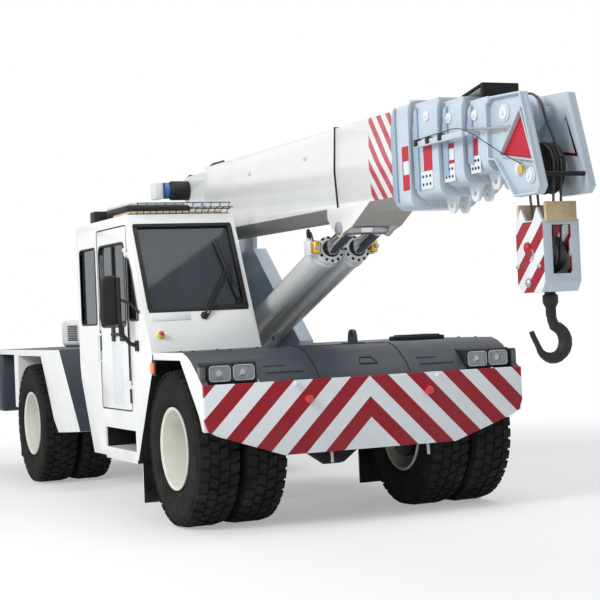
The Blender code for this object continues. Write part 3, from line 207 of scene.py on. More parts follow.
def boomBands(tree, split):
    x = mathNode(tree, "SUBTRACT", split.outputs["X"], shift.x + 1.27)
    up = mathNode(tree, "MULTIPLY", mathNode(tree, "SUBTRACT", split.outputs["Z"], 2.745), 0.85)
    inside = mathNode(tree, "MULTIPLY", mathNode(tree, "GREATER_THAN", x, 0.0), mathNode(tree, "LESS_THAN", x, 0.40))
    inside = mathNode(tree, "MULTIPLY", inside, mathNode(tree, "GREATER_THAN", split.outputs["Z"], 2.19))
    stripes = bandMask(tree, x, up, 0.136, 4.08)
    return mathNode(tree, "MULTIPLY", stripes, inside)


def blockBands(tree, split):
    x = mathNode(tree, "SUBTRACT", split.outputs["X"], shift.x + 3.12)
    up = mathNode(tree, "SUBTRACT", 1.75, split.outputs["Z"])
    stripes = bandMask(tree, x, mathNode(tree, "MULTIPLY", up, 1.1), 0.21, 2.17)
    return mathNode(tree, "MULTIPLY", stripes, mathNode(tree, "LESS_THAN", split.outputs["Z"], 1.945))


# name, slot it stands for, colour, roughness, and what differs from the usual finish
addFinish("whitePaint", "white", (0.79, 0.80, 0.79), 0.30, amount=0.30, coat=0.35)
# painted shade: the chevron's pale bands are a bluish grey darker than the white paint, and its red bands, the default
# band colour, are darker than the boom's red
addFinish("chevronPaint", "white", (0.70, 0.73, 0.76), 0.42, amount=0.14, low=1.2, banded=chevronBands, specular=0.3)
addFinish("boomPaint", "white", (0.79, 0.80, 0.785), 0.32, amount=0.2, low=3.2, coat=0.25, banded=boomBands,
          bandColour=(0.50, 0.010, 0.035))
addFinish("blockPaint", "white", (0.74, 0.76, 0.77), 0.4, amount=0.25, low=2.6, banded=blockBands,
          bandColour=(0.30, 0.004, 0.02), specular=0.3)
addFinish("charcoalPaint", "charcoal", (0.026, 0.034, 0.048), 0.40, dirt=(0.11, 0.11, 0.11), amount=0.28, low=1.6,
          scale=4.0, specular=0.4)
addFinish("blackPaint", "black", (0.010, 0.010, 0.011), 0.5, dirt=(0.06, 0.055, 0.05), amount=0.4, low=1.2, scale=5.0,
          specular=0.2)
# black plastic, also used as painted shade on the cab's inner and recess faces
addFinish("blackPlastic", "plastic", (0.010, 0.010, 0.011), 0.5, amount=0.08, low=2.0, scale=8.0, bump=0.0004,
          specular=0.3)
addFinish("boomGrey", "boom_grey", (0.50, 0.58, 0.65), 0.36, dirt=(0.22, 0.23, 0.25), amount=0.22, low=3.4, coat=0.2)
# painted shade: a darker, bluer copy of the boom grey, for the collars' side fins
addFinish("finGrey", "boom_grey", (0.30, 0.40, 0.52), 0.38, dirt=(0.18, 0.20, 0.24), amount=0.25, low=3.4, coat=0.2)
addFinish("creamPaint", "cream", (0.70, 0.70, 0.63), 0.45, dirt=(0.30, 0.27, 0.22), amount=0.32, low=1.2, scale=6.0)
addFinish("tyreRubber", "rubber", (0.0095, 0.009, 0.009), 0.82, dirt=(0.052, 0.047, 0.042), amount=0.6, low=1.5,
          scale=7.0, bump=0.0015, specular=0.15)
# black rubber for the mudflaps, also used as painted shade under and inside the bodywork
addFinish("flapRubber", "rubber", (0.007, 0.007, 0.007), 0.75, amount=0.2, low=0.7, scale=6.0, bump=0.001,
          specular=0.15)
addFinish("chrome", "chrome", (0.70, 0.71, 0.73), 0.10, amount=0.03, low=3.0, metallic=1.0, bump=0.0001)
addFinish("steel", "chrome", (0.42, 0.43, 0.44), 0.35, amount=0.2, low=3.0, metallic=0.9, scale=10.0)
addFinish("castIron", "iron", (0.014, 0.0145, 0.016), 0.5, amount=0.15, low=2.6, metallic=0.2, scale=9.0, bump=0.0015,
          specular=0.3)
addFinish("redPaint", "white", (0.46, 0.004, 0.022), 0.35, amount=0.1, low=3.0, specular=0.35)
addFinish("palePlate", "white", (0.70, 0.74, 0.76), 0.4, amount=0.15, low=3.0)
addFinish("timber", "cream", (0.60, 0.47, 0.29), 0.7, dirt=(0.26, 0.18, 0.10), amount=0.7, low=4.0, scale=12.0)
addFinish("blueCap", "plastic", (0.04, 0.14, 0.40), 0.35, amount=0.1, low=3.0)
addFinish("yellowPlastic", "plastic", (0.80, 0.55, 0.03), 0.35, amount=0.05, low=3.0)
addFinish("amberLens", "plastic", (0.80, 0.17, 0.02), 0.12, amount=0.05, low=3.0, coat=0.6)
addFinish("redLens", "plastic", (0.55, 0.005, 0.01), 0.12, amount=0.05, low=3.0, coat=0.6)
addFinish("brass", "chrome", (0.75, 0.46, 0.10), 0.3, amount=0.05, low=4.0, metallic=0.7)
addFinish("mirrorSilver", "chrome", (0.86, 0.87, 0.88), 0.06, amount=0.0, low=3.0, metallic=1.0, bump=0.0001)
addFinish("seatCloth", "fabric", (0.030, 0.031, 0.035), 0.9, amount=0.15, low=3.0, scale=14.0, bump=0.002,
          specular=0.2)
# painted shade: a dark grey for the boom's faces that look down
addFinish("undersideShadePaint", "white", (0.36, 0.36, 0.33), 0.6, amount=0.3, low=4.0, specular=0.3)
addFinish("cableBlack", "rubber", (0.008, 0.008, 0.009), 0.45, amount=0.05, low=4.0, specular=0.3)
addFinish("ropeSteel", "iron", (0.055, 0.057, 0.06), 0.45, amount=0.1, low=4.0, metallic=0.6, scale=20.0)


def addGlass(name, colour, rough, weight, specular):
    look = bpy.data.materials.new(name)
    look.use_nodes = True
    tree = look.node_tree
    shader = tree.nodes["Principled BSDF"]
    coords = addNode(tree, "ShaderNodeTexCoord")
    film = addNode(tree, "ShaderNodeTexNoise")
    setInputs(film, {"Scale": 4.0})
    tree.links.new(coords.outputs["Object"], film.inputs["Vector"])
    tree.links.new(mixColour(tree, mathNode(tree, "MULTIPLY", film.outputs[0], 0.2), colour, (0.25, 0.27, 0.3)),
                   shader.inputs["Base Color"])
    tree.links.new(mathNode(tree, "MULTIPLY", film.outputs[0], rough * 2), shader.inputs["Roughness"])
    setInputs(shader, {"Transmission Weight": weight, "IOR": 1.45, "Specular IOR Level": specular})
    looks[name], slotOf[name] = look, "glass"


addGlass("cabGlass", (0.075, 0.105, 0.145), 0.03, 0.82, 0.25)
addGlass("lampGlass", (0.50, 0.54, 0.58), 0.05, 0.85, 0.5)
print("finishes ready")


# ---- shapes, each a bmesh in the axle frame

def roundEdges(shape, width, segments=2, angle=28):
    bmesh.ops.remove_doubles(shape, verts=shape.verts, dist=0.00002)
    bmesh.ops.dissolve_limit(shape, angle_limit=math.radians(1.0), verts=shape.verts, edges=shape.edges)
    if width <= 0:
        return shape
    sharp = [e for e in shape.edges if len(e.link_faces) == 2 and e.calc_face_angle(0) > math.radians(angle)]
    bmesh.ops.bevel(shape, geom=sharp, offset=width, segments=segments, profile=0.5, affect="EDGES",
                    clamp_overlap=True)
    return shape


def block(low, high, bevel=0.0, segments=2):
    shape = bmesh.new()
    bmesh.ops.create_cube(shape, size=1.0)
    bmesh.ops.scale(shape, vec=[b - a for a, b in zip(low, high)], verts=shape.verts)
    bmesh.ops.translate(shape, vec=[(a + b) / 2 for a, b in zip(low, high)], verts=shape.verts)
    return roundEdges(shape, bevel, segments) if bevel else shape


turnTo = {"X": Matrix(((0, 0, 1, 0), (1, 0, 0, 0), (0, 1, 0, 0), (0, 0, 0, 1))),
          "Y": Matrix.Rotation(math.radians(90), 4, "X"), "Z": Matrix.Identity(4)}
latheTo = {"X": Matrix.Rotation(math.radians(90), 4, "Y"), "Y": Matrix.Rotation(math.radians(-90), 4, "X"),
           "Z": Matrix.Identity(4)}
stepOf = {"X": Vector((1, 0, 0)), "Y": Vector((0, 1, 0)), "Z": Vector((0, 0, 1))}


def spanOf(sign, near, far):
    return sorted((sign * near, sign * far))


def circle(u, v, radius, count):
    turns = [2 * math.pi * k / count for k in range(count)]
    return [(u + radius * math.cos(a), v + radius * math.sin(a)) for a in turns]


def meshOfCurve(obj):
    bpy.context.view_layer.update()
    mesh = bpy.data.meshes.new_from_object(obj.evaluated_get(bpy.context.evaluated_depsgraph_get()))
    shape = bmesh.new()
    shape.from_mesh(mesh)
    bpy.data.meshes.remove(mesh)
    bpy.data.objects.remove(obj, do_unlink=True)
    bmesh.ops.remove_doubles(shape, verts=shape.verts, dist=0.00001)
    return shape


def slab(loops, axis, low, high, bevel=0.0, segments=2):
    if isinstance(loops[0][0], (int, float)):
        loops = [loops]
    data = bpy.data.curves.new("outline", "CURVE")
    data.dimensions = "2D"
    data.fill_mode = "BOTH"
    data.extrude = (high - low) / 2
    for loop in loops:
        spline = data.splines.new("POLY")
        spline.points.add(len(loop) - 1)
        for point, (u, v) in zip(spline.points, loop):
            point.co = (u, v, 0, 1)
        spline.use_cyclic_u = True
    obj = bpy.data.objects.new("outline", data)
    scene.collection.objects.link(obj)
    shape = meshOfCurve(obj)
    bmesh.ops.transform(shape, matrix=Matrix.Translation(stepOf[axis] * ((low + high) / 2)) @ turnTo[axis],
                        verts=shape.verts)
    bmesh.ops.recalc_face_normals(shape, faces=shape.faces)
    return roundEdges(shape, bevel, segments) if bevel else shape


def lathe(profile, axis, centre, steps=48):
    shape = bmesh.new()
    rings = []
    for r, along in profile:
        if r < 1e-6:
            rings.append([shape.verts.new((0, 0, along))])
        else:
            rings.append([shape.verts.new((r * math.cos(2 * math.pi * i / steps),
                                           r * math.sin(2 * math.pi * i / steps), along))
                          for i in range(steps)])
    closed = profile[0][0] > 1e-6 and profile[-1][0] > 1e-6
    pairs = list(zip(rings, rings[1:])) + ([(rings[-1], rings[0])] if closed else [])
    for a, b in pairs:
        for i in range(steps):
            j = (i + 1) % steps
            corners = [a[i % len(a)], a[j % len(a)], b[j % len(b)], b[i % len(b)]]
            unique = []
            for corner in corners:
                if corner not in unique:
                    unique.append(corner)
            if len(unique) > 2:
                shape.faces.new(unique)
    bmesh.ops.transform(shape, matrix=Matrix.Translation(Vector(centre)) @ latheTo[axis], verts=shape.verts)
    bmesh.ops.recalc_face_normals(shape, faces=shape.faces)
    return shape


def bar(start, end, radius, steps=20, bevel=0.0):
    start, end = Vector(start), Vector(end)
    shape = bmesh.new()
    bmesh.ops.create_cone(shape, cap_ends=True, segments=steps, radius1=radius, radius2=radius,
                          depth=(end - start).length)
    turn = (end - start).to_track_quat("Z", "Y").to_matrix().to_4x4()
    bmesh.ops.transform(shape, matrix=Matrix.Translation((start + end) / 2) @ turn, verts=shape.verts)
    return roundEdges(shape, bevel, 2, 50) if bevel else shape


def smoothRoute(points, count):
    points = [Vector(p) for p in points]
    out = []
    ends = [points[0] * 2 - points[1]] + points + [points[-1] * 2 - points[-2]]
    spans = len(points) - 1
    for k in range(count + 1):
        t = k / count * spans
        i = min(int(t), spans - 1)
        f = t - i
        a, b, c, d = ends[i:i + 4]
        bend = (2 * a - 5 * b + 4 * c - d) * f * f + (3 * b - a - 3 * c + d) * f ** 3
        out.append(0.5 * ((2 * b) + (c - a) * f + bend))
    return out


def tube(points, radius, sides_=10, cyclic=False, widths=None):
    points = [Vector(p) for p in points]
    shape = bmesh.new()
    count = len(points)
    rings = []
    previous = None
    for i, p in enumerate(points):
        if cyclic:
            way = (points[(i + 1) % count] - points[i - 1]).normalized()
        else:
            way = (points[min(i + 1, count - 1)] - points[max(i - 1, 0)]).normalized()
        if previous is None:
            side = way.orthogonal().normalized()
        else:
            side = (previous - way * previous.dot(way)).normalized()
        previous = side
        other = way.cross(side)
        r = radius * (widths[i] if widths else 1.0)
        rings.append([shape.verts.new(p + side * (r * math.cos(2 * math.pi * k / sides_)) +
                                      other * (r * math.sin(2 * math.pi * k / sides_))) for k in range(sides_)])
    pairs = list(zip(rings, rings[1:])) + ([(rings[-1], rings[0])] if cyclic else [])
    for a, b in pairs:
        for k in range(sides_):
            m = (k + 1) % sides_
            shape.faces.new((a[k], a[m], b[m], b[k]))
    if not cyclic:
        shape.faces.new(list(reversed(rings[0])))
        shape.faces.new(rings[-1])
    bmesh.ops.recalc_face_normals(shape, faces=shape.faces)
    return shape


def roundedLoop(low, high, radius, count=5):
    (x0, y0), (x1, y1) = low, high
    out = []
    for cx, cy, start in ((x1 - radius, y1 - radius, 0), (x0 + radius, y1 - radius, 90),
                          (x0 + radius, y0 + radius, 180), (x1 - radius, y0 + radius, 270)):
        for i in range(count + 1):
            a = math.radians(start + 90 * i / count)
            out.append((cx + radius * math.cos(a), cy + radius * math.sin(a)))
    return out


def softCorners(loop, radius, count=4):
    out = []
    n = len(loop)
    for i in range(n):
        p, a, b = Vector(loop[i]), Vector(loop[i - 1]), Vector(loop[(i + 1) % n])
        reach = min(radius, (a - p).length * 0.45, (b - p).length * 0.45)
        start, end = p + (a - p).normalized() * reach, p + (b - p).normalized() * reach
        for k in range(count + 1):
            t = k / count
            q = start * (1 - t) ** 2 + p * (2 * t * (1 - t)) + end * t ** 2
            out.append((q.x, q.y))
    return out


def grownLoop(loop, width):
    n = len(loop)
    area = sum(loop[i - 1][0] * loop[i][1] - loop[i][0] * loop[i - 1][1] for i in range(n))
    turn = 1 if area > 0 else -1
    out = []
    for i in range(n):
        p, a, b = Vector(loop[i]), Vector(loop[i - 1]), Vector(loop[(i + 1) % n])
        u, v = (p - a).normalized(), (b - p).normalized()
        na, nb = Vector((u.y, -u.x)) * turn, Vector((v.y, -v.x)) * turn
        mid = (na + nb).normalized()
        out.append(tuple(p + mid * (width / max(0.5, mid.dot(na)))))
    return out


def ringSlab(loop, width, axis, low, high, bevel=0.0):
    return slab([grownLoop(loop, width), loop], axis, low, high, bevel, 1)


# ---- pieces

def finishPiece(obj, body, look, replaces=(), smooth=32):
    obj.data.materials.clear()
    for key in ([look] if isinstance(look, str) else look):
        obj.data.materials.append(looks[key])
    obj.data.shade_smooth()
    obj.data.set_sharp_from_angle(angle=math.radians(smooth))
    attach(obj, body)
    if replaces:
        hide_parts(*replaces)
    return obj


def addPiece(name, body, look, shapes, replaces=(), smooth=32, choose=None):
    total = bmesh.new()
    for shape in shapes:
        mesh = bpy.data.meshes.new("part")
        shape.to_mesh(mesh)
        shape.free()
        total.from_mesh(mesh)
        bpy.data.meshes.remove(mesh)
    bmesh.ops.translate(total, vec=shift, verts=total.verts)
    mesh = bpy.data.meshes.new(name)
    total.to_mesh(mesh)
    total.free()
    obj = bpy.data.objects.new(name, mesh)
    scene.collection.objects.link(obj)
    finishPiece(obj, body, look, replaces, smooth)
    if choose:
        for face in mesh.polygons:
            face.material_index = choose(face.center - shift, face.normal)
    return obj


def dressNode(node, look, bevel=0.004, choose=None, smooth=32, segments=2):
    mesh = nodes[node].data.copy()
    shape = bmesh.new()
    shape.from_mesh(mesh)
    bmesh.ops.remove_doubles(shape, verts=shape.verts, dist=0.00005)
    bmesh.ops.dissolve_limit(shape, angle_limit=math.radians(0.6), verts=shape.verts, edges=shape.edges)
    shape.to_mesh(mesh)
    shape.free()
    name = "".join(w.capitalize() if i else w for i, w in enumerate(node.split("_"))) + "Skin"
    obj = bpy.data.objects.new(name, mesh)
    scene.collection.objects.link(obj)
    if bevel:
        soft = obj.modifiers.new("edges", "BEVEL")
        soft.width = bevel
        soft.segments = segments
        soft.limit_method = "ANGLE"
        soft.angle_limit = math.radians(30)
        bpy.context.view_layer.update()
        done = bpy.data.meshes.new_from_object(obj.evaluated_get(bpy.context.evaluated_depsgraph_get()))
        obj.modifiers.clear()
        obj.data = done
    body = nodes[node]["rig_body"]
    finishPiece(obj, body, look, (node,), smooth)
    if choose:
        for face in obj.data.polygons:
            face.material_index = choose(face.center - shift, face.normal)
    return obj


# ---- repeated things: one tree puts a copy of a small mesh on every point of a list

def buildScatter():
    tree = bpy.data.node_groups.new("putOnPoints", "GeometryNodeTree")
    tree.interface.new_socket("Points", in_out="INPUT", socket_type="NodeSocketGeometry")
    tree.interface.new_socket("Copy", in_out="INPUT", socket_type="NodeSocketObject")
    tree.interface.new_socket("Size", in_out="INPUT", socket_type="NodeSocketFloat").default_value = 1.0
    tree.interface.new_socket("Look", in_out="INPUT", socket_type="NodeSocketMaterial")
    tree.interface.new_socket("Result", in_out="OUTPUT", socket_type="NodeSocketGeometry")
    entry, leave = tree.nodes.new("NodeGroupInput"), tree.nodes.new("NodeGroupOutput")
    info = tree.nodes.new("GeometryNodeObjectInfo")
    place = tree.nodes.new("GeometryNodeInstanceOnPoints")
    normal = tree.nodes.new("GeometryNodeInputNamedAttribute")
    normal.data_type = "FLOAT_VECTOR"
    normal.inputs["Name"].default_value = "facing"
    align = tree.nodes.new("FunctionNodeAlignRotationToVector")
    align.axis = "Z"
    turn = tree.nodes.new("GeometryNodeInputNamedAttribute")
    turn.data_type = "FLOAT"
    turn.inputs["Name"].default_value = "twist"
    spin = tree.nodes.new("FunctionNodeAxisAngleToRotation")
    spin.inputs["Axis"].default_value = (0, 0, 1)
    joinTurns = tree.nodes.new("FunctionNodeRotateRotation")
    joinTurns.rotation_space = "LOCAL"
    real = tree.nodes.new("GeometryNodeRealizeInstances")
    paint = tree.nodes.new("GeometryNodeSetMaterial")
    link = tree.links.new
    link(entry.outputs["Points"], place.inputs["Points"])
    link(entry.outputs["Copy"], info.inputs["Object"])
    link(info.outputs["Geometry"], place.inputs["Instance"])
    link(normal.outputs[0], align.inputs["Vector"])
    link(turn.outputs[0], spin.inputs["Angle"])
    link(align.outputs[0], joinTurns.inputs["Rotation"])
    link(spin.outputs[0], joinTurns.inputs["Rotate By"])
    link(joinTurns.outputs[0], place.inputs["Rotation"])
    link(entry.outputs["Size"], place.inputs["Scale"])
    link(place.outputs[0], real.inputs[0])
    link(real.outputs[0], paint.inputs["Geometry"])
    link(entry.outputs["Look"], paint.inputs["Material"])
    link(paint.outputs[0], leave.inputs[0])
    return tree


scatterTree = buildScatter()


def scatter(name, body, look, copyShape, points, size=1.0, smooth=32):
    mesh = bpy.data.meshes.new("copy")
    copyShape.to_mesh(mesh)
    copyShape.free()
    mesh.shade_smooth()
    mesh.set_sharp_from_angle(angle=math.radians(smooth))
    copyObj = bpy.data.objects.new("copy", mesh)
    scene.collection.objects.link(copyObj)
    spots = bpy.data.meshes.new("spots")
    spots.from_pydata([Vector(p[0]) + shift for p in points], [], [])
    spots.attributes.new("facing", "FLOAT_VECTOR", "POINT")
    spots.attributes.new("twist", "FLOAT", "POINT")
    spots.attributes["facing"].data.foreach_set("vector", [c for p in points for c in p[1]])
    spots.attributes["twist"].data.foreach_set("value", [p[2] if len(p) > 2 else 0.0 for p in points])
    obj = bpy.data.objects.new(name, spots)
    scene.collection.objects.link(obj)
    step = obj.modifiers.new("copies", "NODES")
    step.node_group = scatterTree
    values = {"Copy": copyObj, "Size": size, "Look": looks[look]}
    for item in scatterTree.interface.items_tree:
        if item.in_out == "INPUT" and item.name in values:
            step[item.identifier] = values[item.name]
    bpy.context.view_layer.update()
    done = bpy.data.meshes.new_from_object(obj.evaluated_get(bpy.context.evaluated_depsgraph_get()))
    obj.modifiers.clear()
    obj.data = done
    bpy.data.objects.remove(copyObj, do_unlink=True)
    return finishPiece(obj, body, look, smooth=smooth)


def hexBolt(radius=0.012, height=0.009):
    head = bar((0, 0, height * 0.25), (0, 0, height), radius, 6)
    washer = bar((0, 0, -0.001), (0, 0, height * 0.25), radius * 1.35, 12)
    mesh = bpy.data.meshes.new("washer")
    washer.to_mesh(mesh)
    washer.free()
    head.from_mesh(mesh)
    bpy.data.meshes.remove(mesh)
    return head


# ---- wheels

tyre = {"radius": 0.5625, "half": 0.1575, "spacing": 0.355, "outerY": 1.0825, "blocks": 40,
        "grooveDepth": 0.019}
# across the tread: place, share of a pitch it is turned by, width, share of the pitch, skew, lean
treadRows = ((-0.113, 0.13, 0.072, 0.74, 0.10, 0.20), (-0.039, 0.48, 0.062, 0.76, 0.32, 0.0),
             (0.035, 0.98, 0.062, 0.76, -0.32, 0.0), (0.113, 0.63, 0.072, 0.74, -0.10, -0.20))
rim = {"barrel": 0.272, "flange": 0.298, "nuts": 10, "nutCircle": 0.142}


def tyreShape():
    h = tyre["half"]
    r = tyre["radius"]
    deep = r - tyre["grooveDepth"]
    flank = [(0.2853, h - 0.047), (0.287, h - 0.035), (0.296, h - 0.028), (0.305, h - 0.030), (0.318, h - 0.022),
             (0.345, h - 0.010), (0.352, h - 0.0085), (0.356, h - 0.005), (0.362, h - 0.005), (0.366, h - 0.0075),
             (0.40, h - 0.002), (0.43, h), (0.47, h - 0.002), (0.495, h - 0.006), (0.498, h - 0.003),
             (0.504, h - 0.003), (0.507, h - 0.008), (0.523, h - 0.013), (deep - 0.004, h - 0.028), (deep, h - 0.05)]
    profile = flank + [(deep + 0.001, 0.05), (deep + 0.001, -0.05)] + [(a, -b) for a, b in reversed(flank)]
    return lathe(profile, "Y", (0, 0, 0), 96)


def treadBlock(width, length, height, skew, lean=0.0):
    shape = block((-length / 2, -width / 2, -0.012), (length / 2, width / 2, height), 0)
    for v in shape.verts:
        v.co.x += skew * v.co.y
        if v.co.z > 0:
            v.co.x *= 0.93
            v.co.y *= 0.95
            v.co.z += lean * v.co.y
    return roundEdges(shape, 0.0022, 1)


def makeTread(name, body, centre):
    count = tyre["blocks"]
    pitch = 2 * math.pi * tyre["radius"] / count
    deep = tyre["radius"] - tyre["grooveDepth"]
    for row, (place, phase, width, share, skew, lean) in enumerate(treadRows):
        spots = []
        for i in range(count):
            a = 2 * math.pi * (i + phase) / count
            way = Vector((math.cos(a), 0, math.sin(a)))
            spots.append((centre + way * deep + Vector((0, place, 0)), way, 0.0))
        height = tyre["grooveDepth"] - (0.0 if lean == 0 else 0.005) - 0.0022
        scatter(f"{name}{row + 1}", body, "tyreRubber", treadBlock(width, pitch * share, height, skew, lean), spots)


def wheelSpot(axle, side, inner=False):
    x = 0.0 if axle == "front" else -4.17
    return Vector((x, side * (tyre["outerY"] - (tyre["spacing"] if inner else 0.0)), tyre["radius"]))


def rimShape(side):
    b = rim["barrel"]
    f = rim["flange"]
    s = tyre["spacing"]
    outer = [(0.0, -0.155), (0.118, -0.155), (0.124, -0.16), (0.20, -0.162), (0.232, -0.150), (0.246, -0.120),
             (0.252, -0.04), (0.256, 0.04), (0.262, 0.085), (b - 0.002, 0.118), (b + 0.002, 0.138), (b + 0.010, 0.146),
             (f - 0.008, 0.150), (f - 0.001, 0.147), (f, 0.140), (f - 0.004, 0.133), (0.2845, 0.128)]
    back = [(0.2845, -s - 0.128), (f - 0.004, -s - 0.133), (f, -s - 0.140), (f - 0.008, -s - 0.150),
            (b + 0.008, -s - 0.146), (b, -s - 0.120), (0.262, -s - 0.05), (0.255, -0.20), (0.20, -0.186),
            (0.10, -0.19), (0.0, -0.19)]
    profile = [(r, side * w) for r, w in outer + back]
    return lathe(profile, "Y", (0, 0, 0), 64)


def makeWheels():
    for axle in ("front", "rear"):
        for side, label in sides:
            body = f"{axle}_wheel_{label}"
            for inner, place in ((False, "outer"), (True, "inner")):
                shape = tyreShape()
                bmesh.ops.translate(shape, vec=wheelSpot(axle, side, inner), verts=shape.verts)
                addPiece(f"{axle}Tyre{label.capitalize()}{place.capitalize()}", body, "tyreRubber", [shape],
                         replaces=(f"{axle}_tyre_{label}_{place}",), smooth=35)
                makeTread(f"{axle}Tread{label.capitalize()}{place.capitalize()}", body, wheelSpot(axle, side, inner))
            centre = wheelSpot(axle, side)
            shapes = []
            disc = rimShape(side)
            bmesh.ops.translate(disc, vec=centre, verts=disc.verts)
            shapes.append(disc)
            hub = lathe([(0.0, side * 0.028), (0.045, side * 0.028), (0.055, side * 0.022), (0.075, side * 0.018),
                         (0.088, side * 0.008), (0.092, side * -0.02), (0.098, side * -0.10), (0.112, side * -0.13),
                         (0.118, side * -0.156), (0.0, side * -0.156)], "Y", centre, 48)
            shapes.append(hub)
            back = lathe([(0.0, side * -0.188), (0.109, side * -0.188), (0.109, side * -0.2345),
                          (0.0, side * -0.2345)],
                         "Y", centre, 32)
            shapes.append(back)
            addPiece(f"{axle}Rim{label.capitalize()}", body, "creamPaint", shapes, replaces=(f"{axle}_rim_{label}",),
                     smooth=30)
            facing = Vector((0, side, 0))
            spots = []
            for i in range(rim["nuts"]):
                a = 2 * math.pi * (i + 0.5) / rim["nuts"]
                spots.append((centre + Vector((rim["nutCircle"] * math.cos(a), side * -0.161,
                                               rim["nutCircle"] * math.sin(a))),
                              facing, a))
            nut = hexBolt(0.016, 0.022)
            scatter(f"{axle}WheelNuts{label.capitalize()}", body, "steel", nut, spots)
            caps = []
            for i in range(8):
                a = 2 * math.pi * i / 8
                caps.append((centre + Vector((0.068 * math.cos(a), side * 0.0195, 0.068 * math.sin(a))), facing, a))
            scatter(f"{axle}HubBolts{label.capitalize()}", body, "castIron", hexBolt(0.008, 0.007), caps)
    print("wheels ready")


# ---- chassis, deck and bodywork

def deckChoice(point, normal):
    # painted shade: faces that look down above 0.95 m, faces that look inward near the deck's sides, and low faces
    # behind x = -0.82 that look fore or aft take the black finish
    if point.z > 0.95 and normal.z < -0.6 and abs(point.y) < 1.18:
        return 2
    if 1.15 < abs(point.y) < 1.2 and point.y * normal.y < -0.1:
        return 2
    onSide = abs(point.y) > 1.2 and abs(normal.y) > 0.7
    if onSide or point.z < 1.0:
        if point.z < 0.9 and point.x < -0.82 and abs(normal.x) > 0.5:
            return 2
        return 0
    return 1 if (normal.z > 0.25 or normal.x > 0.3) else 0


def rearChoice(point, normal):
    # painted shade: faces that look down and faces that look inward near the sides take the black finish; the mudflaps
    # take it as real black rubber
    if point.z > 0.3 and (normal.z < -0.6 or (1.1 < abs(point.y) < 1.21 and point.y * normal.y < -0.1)):
        return 2
    onFlap = point.x < -4.89 and 0.1 < point.z < 0.73 and point.y and abs(point.y) < 1.18
    if onFlap and abs(normal.x) > 0.6:
        return 2
    if normal.z > 0.5 and point.z > 1.2:
        return 1
    if normal.x > 0.5 and point.z > 0.55 and point.x > -3.4:
        return 1
    return 0


def cabChoice(point, normal):
    # painted shade: faces that look into the room or the step recess, and low faces at the cab's front that look
    # forward, backward or down, are painted dark
    if point.z < 0.46 and point.y < -0.95 and normal.z > 0.5:
        return 2
    if point.x > -0.88 and point.x < -0.8 and point.z < 0.42 and abs(normal.x) > 0.8:
        return 1
    if point.z < 1.235 and normal.x > 0.9 and point.x > -0.40:
        return 1
    if point.z < 1.15 and normal.x > 0.5 and normal.z < -0.2 and point.y > -1.24:
        return 1
    inRecess = 0.42 < point.z < 0.70 and -1.62 < point.x < -0.84 and point.y > -1.236
    if inRecess and abs(normal.z) < 0.9 and abs(normal.x) < 0.99:
        return 3
    inward = Vector((-1.45, -0.80, 1.60)) - point
    if point.z > 0.83 and point.y > -1.235 and inward.dot(normal) > 0.35 * inward.length:
        return 3
    return 0


def makeBodywork():
    dressNode("front_frame", "blackPaint", 0.005)
    dressNode("rear_frame", "blackPaint", 0.005)
    dressNode("front_axle", "blackPaint", 0.003)
    dressNode("rear_axle", "blackPaint", 0.003)
    dressNode("boom_tower", "boomGrey", 0.005)
    # the bumper's chevron panel carries painted shade in both its colours
    dressNode("bumper_plate", "chevronPaint", 0.006)
    dressNode("front_deck", ["whitePaint", "charcoalPaint", "flapRubber"], 0.012, deckChoice, segments=3)
    dressNode("rear_bodywork", ["whitePaint", "charcoalPaint", "flapRubber"], 0.010, rearChoice, segments=3)
    dressNode("cab_body", ["whitePaint", "flapRubber", "steel", "blackPlastic"], 0.010, cabChoice, segments=3)
    dressNode("cab_door_leaf", "whitePaint", 0.004)
    dressNode("engine_hood", "whitePaint", 0.006)
    dressNode("engine_block", "castIron", 0.008)
    dressNode("counterweight", ["charcoalPaint", "redLens"], 0.006, lambda point, normal: 1 if point.x < -5.852 else 0)
    dressNode("oil_tank", "charcoalPaint", 0.006)
    dressNode("dashboard", "blackPlastic", 0.008)
    dressNode("roof_air_unit", "blackPlastic", 0.006)
    for _, label in sides:
        dressNode(f"steering_barrel_{label}", "blackPaint", 0.003)
        dressNode(f"steering_rod_{label}", "chrome", 0.001)
    for name in ("windscreen", "glass_quarter", "glass_rear_side", "glass_rear", "glass_left", "cab_door_glass"):
        nodes[name].data.materials.clear()
        nodes[name].data.materials.append(looks["cabGlass"])
    print("bodywork ready")


# x and z of the nose's rounded edge, from the flat deck to the bumper
noseLine = ((0.31, 1.25), (0.40, 1.225), (0.472, 1.19), (0.58, 1.115), (0.66, 1.03))


def noseHeight(x):
    for (xa, za), (xb, zb) in zip(noseLine, noseLine[1:]):
        if xa <= x <= xb:
            return za + (zb - za) * (x - xa) / (xb - xa)
    return noseLine[0][1] if x < noseLine[0][0] else noseLine[-1][1]


def noseStrip(y, x0, x1, width, height, count=14, slant=0.0):
    shape = bmesh.new()
    rows = []
    for i in range(count + 1):
        x = x0 + (x1 - x0) * i / count
        z = noseHeight(x)
        yy = y + slant * (i / count)
        rows.append([shape.verts.new((x, yy - width / 2, z - 0.004)), shape.verts.new((x, yy - width / 2, z + height)),
                     shape.verts.new((x, yy + width / 2, z + height)),
                     shape.verts.new((x, yy + width / 2, z - 0.004))])
    for a, b in zip(rows, rows[1:]):
        for k in range(4):
            m = (k + 1) % 4
            shape.faces.new((a[k], a[m], b[m], b[k]))
    shape.faces.new(list(reversed(rows[0])))
    shape.faces.new(rows[-1])
    bmesh.ops.recalc_face_normals(shape, faces=shape.faces)
    return shape


# y and z of what stands on the bumper's face, and y of what hangs from it
bumper = {"face": 0.7186, "lamps": ((-0.478, 0.894), (0.462, 0.901)), "studs": ((-0.568, 1.005), (0.542, 1.005)),
          "hangers": (0.46, -0.30)}
lamp = {"front": 0.64, "low": 1.05, "high": 1.155, "inner": 0.82, "outer": 1.193}


